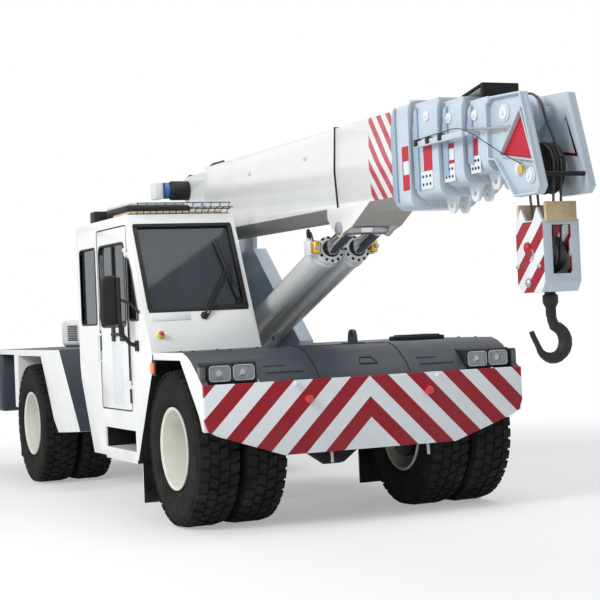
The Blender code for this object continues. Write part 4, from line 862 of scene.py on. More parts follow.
def makeFront():
    seams = [noseStrip(0.36, 0.18, 0.655, 0.008, 0.0035), noseStrip(-0.36, 0.18, 0.655, 0.008, 0.0035),
             noseStrip(0.0, 0.30, 0.305, 0.70, 0.0035, 1)]
    addPiece("noseSeams", "front_chassis", "blackPaint", seams)
    grips = []
    for y0 in (-0.74, 0.46):
        for x in (0.555, 0.605):
            z = noseHeight(x)
            grips.append(block((x - 0.008, y0, z - 0.006), (x + 0.008, y0 + (0.16 if x < 0.58 else 0.28), z + 0.006),
                               0.003))
    addPiece("noseRibs", "front_chassis", "charcoalPaint", grips)
    handle = [(x, y, noseHeight(x) + 0.003) for x, y in ((0.525, 0.018), (0.525, 0.108), (0.585, 0.133),
                                                         (0.585, -0.007))]
    addPiece("noseHandle", "front_chassis", "blackPaint", [tube(handle, 0.0045, 6, True)])
    lugs = []
    for y in (-0.454, 0.171):
        z = 1.25
        loop = softCorners([(0.03, z - 0.01), (0.17, z - 0.01), (0.15, z + 0.105), (0.05, z + 0.105)], 0.045)
        eye = circle(0.10, z + 0.062, 0.020, 16)
        lugs.append(slab([loop, eye], "Y", y - 0.012, y + 0.012, 0.003))
        lugs.append(block((0.0, y - 0.055, z - 0.004), (0.20, y + 0.055, z + 0.008), 0.003))
    addPiece("deckLugs", "front_chassis", "charcoalPaint", lugs)
    hatch = [block((-0.16, 0.60, 1.246), (0.12, 0.94, 1.283), 0.010),
             block((-0.14, 0.63, 1.28), (0.10, 0.91, 1.292), 0.006)]
    addPiece("deckHatch", "front_chassis", "blackPaint", hatch)
    spots = [((x, y, 1.2505), (0, 0, 1), 0.3 * i) for i, (x, y) in enumerate(
        [(x, s * y) for x in (-0.02, 0.24) for y in (0.55, 0.86, 1.14) for s in (-1, 1)])]
    scatter("deckBolts", "front_chassis", "charcoalPaint", hexBolt(0.011, 0.008), spots)
    for side, label in sides:
        low, high = spanOf(side, lamp["inner"], lamp["outer"])
        width = (high - low - 0.06) / 2
        dressNode(f"headlamp_{label}", "blackPlastic", 0.004)
        bezels, lenses, mirrors, chips = [], [], [], []
        for i in range(2):
            a = low + 0.02 + i * (width + 0.02)
            loop = roundedLoop((a + 0.006, lamp["low"] + 0.005), (a + width - 0.006, lamp["high"] - 0.005), 0.018)
            bezels.append(ringSlab(loop, 0.007, "X", lamp["front"] - 0.008, lamp["front"] + 0.004, 0.002))
            lenses.append(slab(loop, "X", lamp["front"] - 0.006, lamp["front"] + 0.0015, 0.0015))
            cy, cz = a + width / 2, (lamp["low"] + lamp["high"]) / 2
            mirrors.append(slab(loop, "X", lamp["front"] - 0.0085, lamp["front"] - 0.0065))
            chips.append(lathe([(0.0, 0.002), (0.015, 0.001), (0.026, -0.0035), (0.0, -0.0035)], "X",
                               (lamp["front"] - 0.003, cy, cz), 24))
        addPiece(f"lampBezels{label.capitalize()}", "front_chassis", "steel", bezels)
        addPiece(f"lampReflectors{label.capitalize()}", "front_chassis", "mirrorSilver", mirrors + chips)
        addPiece(f"lampLenses{label.capitalize()}", "front_chassis", "lampGlass", lenses)
        y0, y1 = spanOf(side, 1.196, 1.2415)
        corner = [block((0.585, y0, 1.045), (0.652, y1, 1.165), 0.006)]
        addPiece(f"cornerLampBase{label.capitalize()}", "front_chassis", "blackPlastic", corner)
        y0, y1 = spanOf(side, 1.202, 1.2428)
        addPiece(f"cornerLampLens{label.capitalize()}", "front_chassis", "lampGlass",
                 [block((0.60, y0, 1.055), (0.657, y1, 1.155), 0.008)])
    marker = [block((-0.30, 1.232, 1.08), (-0.25, 1.2428, 1.15), 0.006)]
    addPiece("markerLampLeft", "front_chassis", "amberLens", marker)
    face, dome = bumper["face"], [(0.0, 0.040), (0.018, 0.037), (0.031, 0.026), (0.034, 0.0), (0.0, 0.0)]
    stud = [(0.0, 0.024), (0.012, 0.023), (0.017, 0.016), (0.017, 0.0), (0.0, 0.0)]
    domes = [lathe(dome, "X", (face, y, z), 24) for y, z in bumper["lamps"]]
    posts = [lathe(stud, "X", (face, y, z), 16) for y, z in bumper["studs"]]
    addPiece("bumperLamps", "front_chassis", "redLens", domes)
    addPiece("bumperStuds", "front_chassis", "palePlate", posts)
    hangers = [tube([(0.66, y, 0.60), (0.68, y, 0.47), (0.68, y, 0.44)], 0.012) for y in bumper["hangers"]]
    addPiece("bumperHangers", "front_chassis", "steel", hangers)
    print("front ready")


# ---- cab

cab = {"right": -1.243, "left": -0.37, "roof": 2.305, "slope": 0.47, "screenX": -0.369, "screenZ": 1.232,
       "paneLow": 1.563, "paneHigh": 2.215}
# x and z of the corners of the side's panes and of the door leaf
panes = {"quarter": [(-0.865, 1.50), (-0.66, 1.50), (-0.80, 1.87), (-0.865, 1.97)],
         "rear": [(-2.21, 1.48), (-1.77, 1.48), (-1.77, 2.09), (-2.21, 2.09)],
         "door": [(-1.645, 1.46), (-0.975, 1.46), (-0.975, 2.09), (-1.645, 2.09)],
         "leaf": [(-1.6985, 0.8015), (-0.9015, 0.8015), (-0.9015, 2.2235), (-1.6985, 2.2235)]}
# y and z on the windscreen
wiper = {"foot": (-0.775, 1.505), "elbow": (-0.515, 1.872), "bladeTop": (-0.57, 2.09), "bladeFoot": (-0.47, 1.63)}


def screenX(z):
    return cab["screenX"] - cab["slope"] * (z - cab["screenZ"])


screenOut = Vector((1.0, 0.0, cab["slope"])).normalized()


def onScreen(y, z, off=0.0):
    return Vector((screenX(z), y, z)) + screenOut * off


def screenBar(y0, z0, y1, z1, width, thick, lift=0.0):
    a, b = onScreen(y0, z0), onScreen(y1, z1)
    way = (b - a).normalized()
    across = way.cross(screenOut)
    shape = block((-width / 2, -(b - a).length / 2, 0), (width / 2, (b - a).length / 2, thick), min(0.003, thick / 3))
    turn = Matrix((across, way, screenOut)).transposed().to_4x4()
    turn.translation = (a + b) / 2 + screenOut * lift
    bmesh.ops.transform(shape, matrix=turn, verts=shape.verts)
    bmesh.ops.recalc_face_normals(shape, faces=shape.faces)
    return shape


def makeCab():
    right, left = cab["right"], cab["left"]
    y0, y1, z0, z1 = right + 0.05, left - 0.05, cab["paneLow"], cab["paneHigh"]
    rubber = [screenBar(y0 - 0.012, z0, y1 + 0.012, z0, 0.045, 0.006, -0.001),
              screenBar(y0 - 0.012, z1, y1 + 0.012, z1, 0.03, 0.006, -0.001),
              screenBar(y0, z0, y0, z1, 0.035, 0.006, -0.001), screenBar(y1, z0, y1, z1, 0.035, 0.006, -0.001)]
    addPiece("windscreenRubber", "front_chassis", "blackPlastic", rubber)
    addPiece("windscreenBand", "front_chassis", "blackPlastic",
             [screenBar(y0 + 0.01, z0 + 0.045, y1 - 0.01, z0 + 0.045, 0.075, 0.002, -0.024)])
    frames = []
    out = right - 0.006
    for pane in ("quarter", "rear"):
        frames.append(ringSlab(softCorners(panes[pane], 0.03), 0.014, "Y", out, right + 0.02, 0.003))
    addPiece("sideWindowRubber", "front_chassis", "blackPlastic", frames)
    doorLoop = softCorners(panes["door"], 0.06)
    doorTrim = [ringSlab(doorLoop, 0.016, "Y", out, right + 0.02, 0.003),
                block((-1.325, right + 0.002, 1.465), (-1.295, right + 0.028, 2.085), 0.003),
                block((-1.62, right - 0.004, 1.472), (-1.00, right + 0.028, 1.492), 0.003)]
    addPiece("doorWindowFrame", "cab_door", "blackPlastic", doorTrim)
    lock = [block((-1.688, right - 0.006, 1.26), (-1.662, right + 0.004, 1.42), 0.005),
            block((-1.35, right - 0.012, 1.335), (-1.27, right + 0.002, 1.445), 0.005),
            block((-1.13, right - 0.012, 1.335), (-1.03, right + 0.002, 1.445), 0.005),
            bar((-1.31, right - 0.018, 1.39), (-1.08, right - 0.018, 1.39), 0.012, 12)]
    addPiece("doorLatchPlate", "cab_door", "blackPlastic", lock)
    addPiece("doorHingeBar", "cab_door", "blackPlastic",
             [block((-0.924, right - 0.010, 0.86), (-0.909, right + 0.001, 1.46), 0.004)])
    # painted shade: black rubber sheets on the walls of the step recess
    x0, x1, y0, y1, z0, z1 = -1.649, -0.841, -1.228, -0.951, 0.491, 0.649
    recessShade = [block((x0, y1 - 0.006, z0), (x1, y1, z1)), block((x0, y0, z0), (x0 + 0.006, y1, z1)),
              block((x1 - 0.006, y0, z0), (x1, y1, z1)), block((x0, y0, z1 - 0.006), (x1, y1, z1))]
    addPiece("recessLining", "front_chassis", "flapRubber", recessShade)
    addPiece("doorKickStrip", "cab_door", "palePlate",
             [block((-1.37, right - 0.0025, 0.84), (-1.11, right + 0.001, 1.325), 0.001)])
    # dark seal in the gap round the door, proud of the cab's side
    leaf = softCorners(panes["leaf"], 0.03)
    addPiece("doorSeal", "front_chassis", "blackPlastic", [ringSlab(leaf, 0.007, "Y", right - 0.0015, right + 0.01)])
    plate = [screenBar(-1.19, 1.508, -0.89, 1.508, 0.062, 0.004)]
    addPiece("frontPlate", "front_chassis", "palePlate", plate)
    rods = [bar((-0.885, -1.257, 0.86), (-0.885, -1.257, 0.965), 0.006),
            bar((-0.885, -1.257, 1.04), (-0.885, -1.257, 1.98), 0.006)]
    addPiece("doorHingeRod", "front_chassis", "blackPlastic", rods)
    addPiece("markerLampBase", "front_chassis", "blackPlastic",
             [block((-0.368, right - 0.008, 1.08), (-0.272, right - 0.0005, 1.19), 0.003)])
    lamps = [block((-0.358, right - 0.028, 1.095), (-0.282, right - 0.006, 1.175), 0.010)]
    addPiece("markerLampRight", "front_chassis", "amberLens", lamps)
    # wiper: foot, arm and blade lying just off the glass
    foot, elbow = onScreen(*wiper["foot"], 0.014), onScreen(*wiper["elbow"], 0.050)
    second = [onScreen(-0.745, 1.505, 0.014), onScreen(-0.68, 1.60, 0.035), onScreen(-0.495, 1.85, 0.050)]
    holder = [onScreen(*wiper["bladeTop"], 0.022), elbow + Vector((0, 0.005, 0)), onScreen(*wiper["bladeFoot"], 0.022)]
    blade = [onScreen(*wiper["bladeTop"], 0.012), onScreen(*wiper["bladeFoot"], 0.012)]
    arm = [tube([foot, onScreen(-0.71, 1.60, 0.035), elbow], 0.008), tube(second, 0.006),
           bar(onScreen(*wiper["foot"], 0.0), foot, 0.030, 20, 0.003), tube(holder, 0.007), tube(blade, 0.010, 6)]
    addPiece("wiper", "front_chassis", "blackPlastic", arm)
    stop = onScreen(-1.15, 1.372, 0.0)
    base = lathe([(0.0, 0.028), (0.022, 0.028), (0.026, 0.022), (0.030, 0.0), (0.0, 0.0)], "Z", (0, 0, 0), 24)
    knob = lathe([(0.0, 0.052), (0.012, 0.051), (0.018, 0.044), (0.018, 0.036), (0.010, 0.030), (0.010, 0.026),
                  (0.0, 0.026)],
                 "Z", (0, 0, 0), 24)
    turn = Matrix.Translation(stop) @ screenOut.to_track_quat("Z", "Y").to_matrix().to_4x4()
    for shape in (base, knob):
        bmesh.ops.transform(shape, matrix=turn, verts=shape.verts)
    addPiece("stopButtonBase", "front_chassis", "yellowPlastic", [base])
    addPiece("stopButton", "front_chassis", "redLens", [knob])
    makeRoof()
    makeMirror()
    makeInterior()
    print("cab ready")


def makeRoof():
    roof = cab["roof"]
    wires = []
    for i in range(16):
        y = -1.20 + 0.79 * i / 15
        wires.append(tube([(-0.90, y, roof - 0.005), (-0.875, y, roof + 0.03), (-0.80, y, roof + 0.045)], 0.0035, 6))
    for x, z in ((-0.80, roof + 0.045), (-0.86, roof + 0.038), (-0.90, roof + 0.005)):
        wires.append(tube([(x, -1.22, z), (x, -0.39, z)], 0.004, 6))
    for i in range(11):
        y = -1.18 + 0.75 * i / 10
        wires.append(tube([(-0.80, y, roof + 0.045), (-0.845, y + 0.03, roof + 0.085)], 0.003, 6))
    wires.append(tube([(-0.845, -1.16, roof + 0.085), (-0.845, -0.40, roof + 0.085)], 0.0035, 6))
    addPiece("roofGuard", "front_chassis", "blackPaint", wires)
    board = [block((-1.38, -1.19, roof - 0.001), (-0.93, -0.45, roof + 0.028), 0.003)]
    addPiece("roofBoard", "front_chassis", "timber", board)
    lid = [block((-2.06, -1.04, roof + 0.112), (-1.44, -0.56, roof + 0.142), 0.012),
           block((-1.95, -0.93, roof + 0.14), (-1.55, -0.67, roof + 0.15), 0.006)]
    addPiece("airUnitLid", "front_chassis", "palePlate", lid)
    lamps = [block((-1.98, -1.21, roof), (-1.84, -1.10, roof + 0.10), 0.012)]
    addPiece("rearWorkLamp", "front_chassis", "blackPlastic", lamps)
    grille = [((-1.3997, -1.0 + 0.035 * i, roof + 0.06), (1, 0, 0), 0.0) for i in range(12)]
    scatter("airUnitSlats", "front_chassis", "blackPaint", block((-0.03, -0.004, -0.002), (0.03, 0.004, 0.004)),
            grille)


def makeMirror():
    # crowned housing with the silvered glass at its back and a tube down its inner side
    loop = softCorners([(-1.515, 1.47), (-1.37, 1.45), (-1.345, 1.84), (-1.50, 1.84)], 0.075, 8)
    shell = slab(loop, "X", -0.789, -0.731, 0.026, 4)
    addPiece("mirrorShell", "front_chassis", "blackPlastic", [shell], replaces=("mirror_right",), smooth=40)
    glass = [slab(roundedLoop((-1.488, 1.485), (-1.372, 1.810), 0.04), "X", -0.7905, -0.788)]
    addPiece("mirrorGlass", "front_chassis", "mirrorSilver", glass)
    bracket = [tube([(-0.70, -1.25, 1.30), (-0.715, -1.30, 1.32), (-0.722, -1.365, 1.40), (-0.722, -1.372, 1.50),
                     (-0.722, -1.372, 1.82)], 0.017, 12), block((-0.73, -1.262, 1.26), (-0.67, -1.2435, 1.34), 0.004),
                     tube([(-0.62, -1.25, 1.55), (-0.68, -1.30, 1.62), (-0.735, -1.37, 1.66)], 0.010)]
    addPiece("mirrorArms", "front_chassis", "blackPlastic", bracket)


stuffing = {"voxel": 0.006, "pressure": 4.0, "frames": 20, "seamDepth": 0.008}


def puffCushion(name, low, high, radius, cap):
    core = block(low, high, radius, 4)
    bmesh.ops.triangulate(core, faces=core.faces)
    mesh = bpy.data.meshes.new(name)
    core.to_mesh(mesh)
    core.free()
    work = bpy.data.objects.new("work", mesh)
    scene.collection.objects.link(work)
    step = work.modifiers.new("even", "REMESH")
    step.mode = "VOXEL"
    step.voxel_size = stuffing["voxel"]
    bpy.context.view_layer.update()
    even = bpy.data.meshes.new_from_object(work.evaluated_get(bpy.context.evaluated_depsgraph_get()))
    work.modifiers.clear()
    work.data = even
    before = [v.co.copy() for v in even.vertices]
    cloth = work.modifiers.new("fill", "CLOTH")
    cloth.settings.use_pressure = True
    cloth.settings.uniform_pressure_force = stuffing["pressure"]
    cloth.settings.effector_weights.gravity = 0.0
    for number in range(1, stuffing["frames"] + 1):
        scene.frame_set(number)
    bpy.context.view_layer.update()
    puffed = work.evaluated_get(bpy.context.evaluated_depsgraph_get()).data
    for v, start, end in zip(even.vertices, before, [p.co.copy() for p in puffed.vertices]):
        move = end - start
        v.co = start + move * min(1.0, cap / max(move.length, 1e-6))
    work.modifiers.clear()
    scene.frame_set(1)
    shape = bmesh.new()
    shape.from_mesh(even)
    bpy.data.objects.remove(work, do_unlink=True)
    return shape, [(a + b) / 2 for a, b in zip(low, high)], [(b - a) / 2 for a, b in zip(low, high)]


def makeInterior():
    shape, mid, half = puffCushion("seatPad", (-1.668, -1.058, 1.108), (-1.180, -0.602, 1.200), 0.035, 0.012)
    for v in shape.verts:
        w = (v.co.y - mid[1]) / half[1]
        v.co.z = max(v.co.z, 1.101)
        if v.co.z > mid[2]:
            v.co.z -= stuffing["seamDepth"] * math.exp(-((abs(w) - 0.55) / 0.06) ** 2)
    cushion = addPiece("seatCushionCover", "front_chassis", "seatCloth", [shape], replaces=("seat_cushion",),
                       smooth=60)
    shape, mid, half = puffCushion("seatRest", (-1.828, -1.048, 1.092), (-1.702, -0.612, 1.838), 0.04, 0.010)
    for v in shape.verts:
        u, w = (v.co.z - mid[2]) / half[2], (v.co.y - mid[1]) / half[1]
        v.co.x = min(v.co.x, -1.682)
        if v.co.x > mid[0]:
            v.co.x -= stuffing["seamDepth"] * math.exp(-((abs(w) - 0.6) / 0.06) ** 2) * max(0.0, 1 - u ** 6)
    back = addPiece("seatBackCover", "front_chassis", "seatCloth", [shape], replaces=("seat_back",), smooth=60)
    levers = [tube([(-1.30, -0.56, 1.00), (-1.28, -0.52, 1.20), (-1.24, -0.50, 1.36)], 0.010),
              block((-1.42, -0.56, 0.842), (-1.12, -0.46, 1.02), 0.012),
              lathe([(0.0, 0.03), (0.018, 0.025), (0.022, 0.0), (0.012, -0.02), (0.0, -0.02)], "Z",
                    (-1.24, -0.50, 1.38), 20)]
    addPiece("cabLevers", "front_chassis", "blackPlastic", levers)


# ---- boom

boom = {"side": 0.205, "top": 2.775, "fold": 2.47, "low": 2.22, "bottom": 2.15, "stepSide": 0.025, "stepTop": 0.032,
        "stepBottom": 0.05}
# body that each collar rides on, its rear and its front
sections = (("boom", 1.71, 1.93), ("boom_second", 1.965, 2.27), ("boom_third", 2.305, 2.53), ("boom_fly", 2.565, 2.77))


def boomLoop(step, grow=0.0):
    side = boom["side"] - step * boom["stepSide"] + grow
    top = boom["top"] - step * boom["stepTop"] + grow
    bottom = boom["bottom"] + step * boom["stepBottom"] - grow
    low = boom["low"] + step * boom["stepBottom"] - grow * 0.6
    half = [(side - 0.015, top), (side, boom["fold"]), (side - 0.015, low), (side - 0.115, bottom)]
    return [(-y, z) for y, z in half] + list(reversed(half))


# what each collar carries: red band, bare patch on it, bolted plate (x and z of two corners), boss
collarFit = (
    {"band": (1.835, 1.925, 2.235, 2.515), "patch": (1.852, 1.925, 2.335, 2.42), "plate": None, "boss": None},
    {"band": (2.078, 2.190, 2.335, 2.505), "patch": None, "plate": (2.040, 2.195, 2.223, 2.335),
     "boss": (2.146, 2.675)},
    {"band": (2.330, 2.425, 2.355, 2.478), "patch": (2.347, 2.425, 2.375, 2.445),
     "plate": (2.300, 2.430, 2.245, 2.352), "boss": (2.385, 2.63)},
    {"band": (2.600, 2.670, 2.375, 2.478), "patch": None, "plate": (2.585, 2.700, 2.270, 2.372),
     "boss": (2.655, 2.612)},
)


# how far a collar stands out past its section, its corners, and the ears below it
collar = {"side": 0.036, "top": 0.031, "bottom": 0.033, "corner": 0.085, "ear": 0.050, "eyeDrop": 0.048}


def makeCollar(step, body, rear, front):
    side = boom["side"] - step * boom["stepSide"] + collar["side"]
    top = boom["top"] - step * boom["stepTop"] + collar["top"]
    bottom = boom["bottom"] + step * boom["stepBottom"] - collar["bottom"]
    outer = softCorners([(-side, bottom), (side, bottom), (side, top), (-side, top)], collar["corner"], 5)
    addPiece(f"collarWrap{step + 1}", body, "boomGrey",
             [slab([outer, boomLoop(step, 0.010)], "X", rear - 0.003, front + 0.003, 0.0025)])
    if step < 3:
        # wear pads fill the mouth round the next section, 9 mm clear of it
        addPiece(f"collarMouth{step + 1}", body, "boomGrey",
                 [slab([boomLoop(step, 0.012), boomLoop(step + 1, 0.009)], "X", front - 0.03, front + 0.002, 0.002)])
    if step:
        addPiece(f"collarPad{step + 1}", body, "blackPlastic",
                 [slab([boomLoop(step, 0.020), boomLoop(step, 0.003)], "X", rear - 0.016, rear - 0.002)])
    fit = collarFit[step]
    fins, bands, plates, holes, bosses = [], [], [], [], []
    for s, _ in sides:
        fin = [(rear - 0.001, bottom + 0.07), (rear + 0.062, bottom + 0.05), (rear + 0.062, top - 0.03),
               (rear - 0.001, top - 0.15)]
        a, b = spanOf(s, side - 0.002, side + 0.012)
        fins.append(slab(fin, "Y", a, b, 0.003))
        x0, x1, z0, z1 = fit["band"]
        a, b = spanOf(s, side, side + 0.0015)
        bands.append(block((x0, a, z0), (x1, b, z1)))
        if fit["patch"]:
            x0, x1, z0, z1 = fit["patch"]
            a, b = spanOf(s, side, side + 0.003)
            plates.append(block((x0, a, z0), (x1, b, z1)))
        if fit["plate"]:
            x0, x1, z0, z1 = fit["plate"]
            a, b = spanOf(s, side - 0.001, side + 0.005)
            plates.append(slab(roundedLoop((x0, z0), (x1, z1), 0.006), "Y", a, b, 0.001))
            for i in range(3):
                for j in range(2):
                    holes.append(((x0 + (0.2 + 0.3 * i) * (x1 - x0), s * (side + 0.0055),
                                   z0 + (0.28 + 0.44 * j) * (z1 - z0)), (0, s, 0), 0.4 * i))
        if fit["boss"]:
            x, z = fit["boss"]
            bosses.append(lathe([(0.0, s * 0.022), (0.010, s * 0.022), (0.014, s * 0.017), (0.018, s * 0.012),
                                 (0.030, s * 0.011),
                                 (0.033, s * 0.006), (0.033, 0.0), (0.0, 0.0)], "Y", (x, s * side, z), 28))
    # the fins take the darker grey as painted shade
    addPiece(f"collarFins{step + 1}", body, "finGrey", fins)
    addPiece(f"collarBands{step + 1}", body, "redPaint", bands)
    if plates:
        addPiece(f"collarPlates{step + 1}", body, "palePlate", plates)
    if holes:
        scatter(f"collarPlateBolts{step + 1}", body, "castIron", hexBolt(0.007, 0.004), holes)
    if bosses:
        addPiece(f"collarBosses{step + 1}", body, "palePlate", bosses)
    if step:
        ears = []
        for y in (-0.042, 0.042):
            x = (rear + front) / 2
            loop = [(x - 0.085, bottom + 0.012), (x + 0.085, bottom + 0.012)]
            for angle in (math.radians(t) for t in range(0, -181, -15)):
                loop.append((x + collar["ear"] * math.cos(angle),
                             bottom - collar["eyeDrop"] + collar["ear"] * math.sin(angle)))
            eye = circle(x, bottom - collar["eyeDrop"], 0.017, 18)
            ears.append(slab([loop, eye], "Y", y - 0.011, y + 0.011, 0.003, 1))
        addPiece(f"collarEars{step + 1}", body, "palePlate", ears)


def makeBoom():
    # painted shade: the boom's faces that look down get a dark grey in place of the white paint
    dressNode("boom_base", ["boomPaint", "undersideShadePaint"], 0.006, lambda point, normal: 1 if normal.z < -0.6 else 0)
    for step in (2, 3, 4):
        dressNode(f"boom_section_{step}", "boomGrey", 0.006)
    dressNode("winch", "castIron", 0.003)
    dressNode("lift_barrels", "whitePaint", 0.004)
    dressNode("lift_rods", "chrome", 0.002)
    for step, (body, rear, front) in enumerate(sections):
        makeCollar(step, body, rear, front)
    # the strap is open below, where the lift rods' eyes come close
    loop = boomLoop(0, 0.004)
    strap = tube([(0.73, y, z) for y, z in loop[2::-1] + loop[:-4:-1]], 0.008, 8)
    addPiece("boomStrap", "boom", "cableBlack", [strap])
    hose = smoothRoute([(-1.95, -0.10, 2.60), (-2.02, -0.12, 2.73), (-1.90, -0.14, 2.786), (-1.60, -0.15, 2.786)], 24)
    hoses = [tube(hose, 0.016), tube([p + Vector((0, 0.05, 0.0)) for p in hose], 0.012)]
    addPiece("boomTailHoses", "boom", "cableBlack", hoses)
    clamps = [((x, s * 0.2005, 2.62), (0, s, 0)) for s, _ in sides for x in (0.20, -0.9)]
    scatter("boomSideBolts", "boom", "palePlate", hexBolt(0.014, 0.012), clamps)
    makeWinchTrim()
    makeCylinderTrim()
    print("boom ready")


winch = {"x": -2.42, "z": 2.62, "drum": 0.098, "rope": 0.0095, "turns": 13, "pitch": 0.0195, "firstTurn": -0.122}


def makeWinchTrim():
    x, z = winch["x"], winch["z"]
    addPiece("winchMotorCap", "boom", "blueCap", [lathe([(0.0, -0.424), (0.055, -0.424), (0.072, -0.412),
                                                         (0.072, -0.372), (0.0, -0.372)],
                                                       "Y", (x, 0, z), 28)])
    turns = []
    for layer in range(2):
        for i in range(winch["turns"] - layer):
            y = winch["firstTurn"] + winch["pitch"] * (i + 0.5 * layer)
            ring = circle(x, z, winch["drum"] + 0.016 * layer, 28)
            turns.append(tube([(a, y, b) for a, b in ring], winch["rope"], 6, True))
    addPiece("winchRope", "boom", "ropeSteel", turns)
    line = [tube([(x + 0.02, 0.0, z + 0.115), (-1.95, 0.0, 2.785), (-1.6, 0.0, 2.79)], 0.008, 8)]
    addPiece("hoistLineRear", "boom", "ropeSteel", line)
    addPiece("winchValveBlock", "boom", "palePlate", [block((x - 0.09, -0.50, z - 0.075), (x + 0.05, -0.426, z + 0.07),
                                                            0.010)])


lift = {"rear": (-1.885, 1.14), "head": (0.74, 2.072), "side": 0.105, "glandBolts": 12, "boltCircle": 0.0905}


def liftSpot(along, y, out=0.0):
    # a point on a lift cylinder: so far along it from its rear pin, and so far above its axis
    base, head = (Vector((x, 0, z)) for x, z in (lift["rear"], lift["head"]))
    way = (head - base).normalized()
    up = Vector((-way.z, 0, way.x))
    return base + way * along + up * out + Vector((0, y, 0))


def makeCylinderTrim():
    pipes, glands, bolts, bands = [], [], [], []
    way = (liftSpot(1, 0) - liftSpot(0, 0)).normalized()
    for s, _ in sides:
        y = s * lift["side"]
        pipes.append(tube([liftSpot(0.20, y, 0.095), liftSpot(0.30, y, 0.118), liftSpot(2.12, y, 0.118),
                           liftSpot(2.24, y, 0.10)], 0.010))
        glands.append(bar(liftSpot(2.28, y), liftSpot(2.325, y), 0.1035, 36, 0.004))
        glands.append(bar(liftSpot(2.35, y), liftSpot(2.41, y), 0.082, 32, 0.004))
        bands.append(bar(liftSpot(2.408, y), liftSpot(2.425, y), 0.064, 28, 0.003))
        for k, (across, up) in enumerate(circle(0, 0, lift["boltCircle"], lift["glandBolts"])):
            bolts.append((liftSpot(2.401, y + across, up), way, 2 * math.pi * k / lift["glandBolts"]))
    addPiece("liftPipes", "lift_barrels", "steel", pipes)
    addPiece("liftGlands", "lift_barrels", "palePlate", glands)
    addPiece("liftWipers", "lift_barrels", "blackPlastic", bands)
    scatter("liftGlandBolts", "lift_barrels", "castIron", hexBolt(0.008, 0.010), bolts)
    makeValves()
    knuckles, pins = [], []
    x, z = lift["head"]
    for s, _ in sides:
        y = s * lift["side"]
        knuckles.append(bar((x, y - 0.062, z), (x, y + 0.062, z), 0.048, 32, 0.004))
        a, b = spanOf(s, 0.190, 0.212)
        pins.append(bar((x, a, z), (x, b, z), 0.046, 28, 0.004))
    addPiece("liftEyes", "lift_rods", "steel", knuckles)
    addPiece("liftHeadPins", "boom", "steel", pins)


def makeValves():
    # load-holding valve on each barrel's outer flank, with its coil and short hoses
    coils, bodies, hoses, nuts = [], [], [], []
    for s, _ in sides:
        y = s * 0.235
        spot = liftSpot(2.36, y, 0.03)
        x, z = spot.x, spot.z
        a, b = spanOf(s, 0.198, 0.262)
        bodies.append(block((x - 0.075, a, z - 0.055), (x + 0.035, b, z + 0.055), 0.008))
        coils.append(block((x + 0.030, a + 0.006, z - 0.046), (x + 0.105, b - 0.006, z + 0.046), 0.016, 3))
        nuts.append(bar((x + 0.10, y, z), (x + 0.128, y, z), 0.018, 6, 0.002))
        nuts.append(bar((x - 0.05, y, z + 0.05), (x - 0.05, y, z + 0.075), 0.016, 6, 0.002))
        nuts.append(bar((x - 0.02, y, z + 0.05), (x - 0.02, y, z + 0.070), 0.012, 6, 0.002))
        loop = [(x - 0.05, y, z + 0.07), (x - 0.055, y, z + 0.12), (x - 0.10, y - s * 0.03, z + 0.135),
                (x - 0.17, y - s * 0.07, z + 0.09),
                (x - 0.24, s * 0.13, z + 0.045)]
        hoses.append(tube(smoothRoute(loop, 20), 0.009))
        loop = [(x - 0.02, y, z + 0.065), (x - 0.02, y + s * 0.01, z + 0.10), (x + 0.03, y + s * 0.012, z + 0.11),
                (x + 0.055, y + s * 0.005, z + 0.045)]
        hoses.append(tube(smoothRoute(loop, 16), 0.006))
    addPiece("valveBodies", "lift_barrels", "palePlate", bodies)
    addPiece("valveCoils", "lift_barrels", "brass", coils)
    addPiece("valveNuts", "lift_barrels", "steel", nuts)
    addPiece("valveHoses", "lift_barrels", "cableBlack", hoses)


# ---- boom head and hook block

def blockChoice(point, normal):
    if point.z > 1.949 and abs(point.x - 3.12) > 0.13:
        return 2
    if abs(normal.x) > 0.6 or (point.z < 1.62 and abs(normal.y) < 0.5):
        return 1
    return 0


# x and z of the head plate's corners and of its red window, and x, z and radius of its bosses
boomHead = {"side": 0.1555, "window": [(3.178, 2.575), (3.29, 2.285), (2.945, 2.345)],
        "plate": [(2.80, 2.66), (2.86, 2.695), (3.19, 2.68), (3.36, 2.13), (3.32, 2.09), (3.08, 2.09), (2.88, 2.32),
                  (2.80, 2.33)],
        "bosses": ((2.985, 2.585, 0.050), (3.12, 2.25, 0.042), (3.235, 2.20, 0.046))}


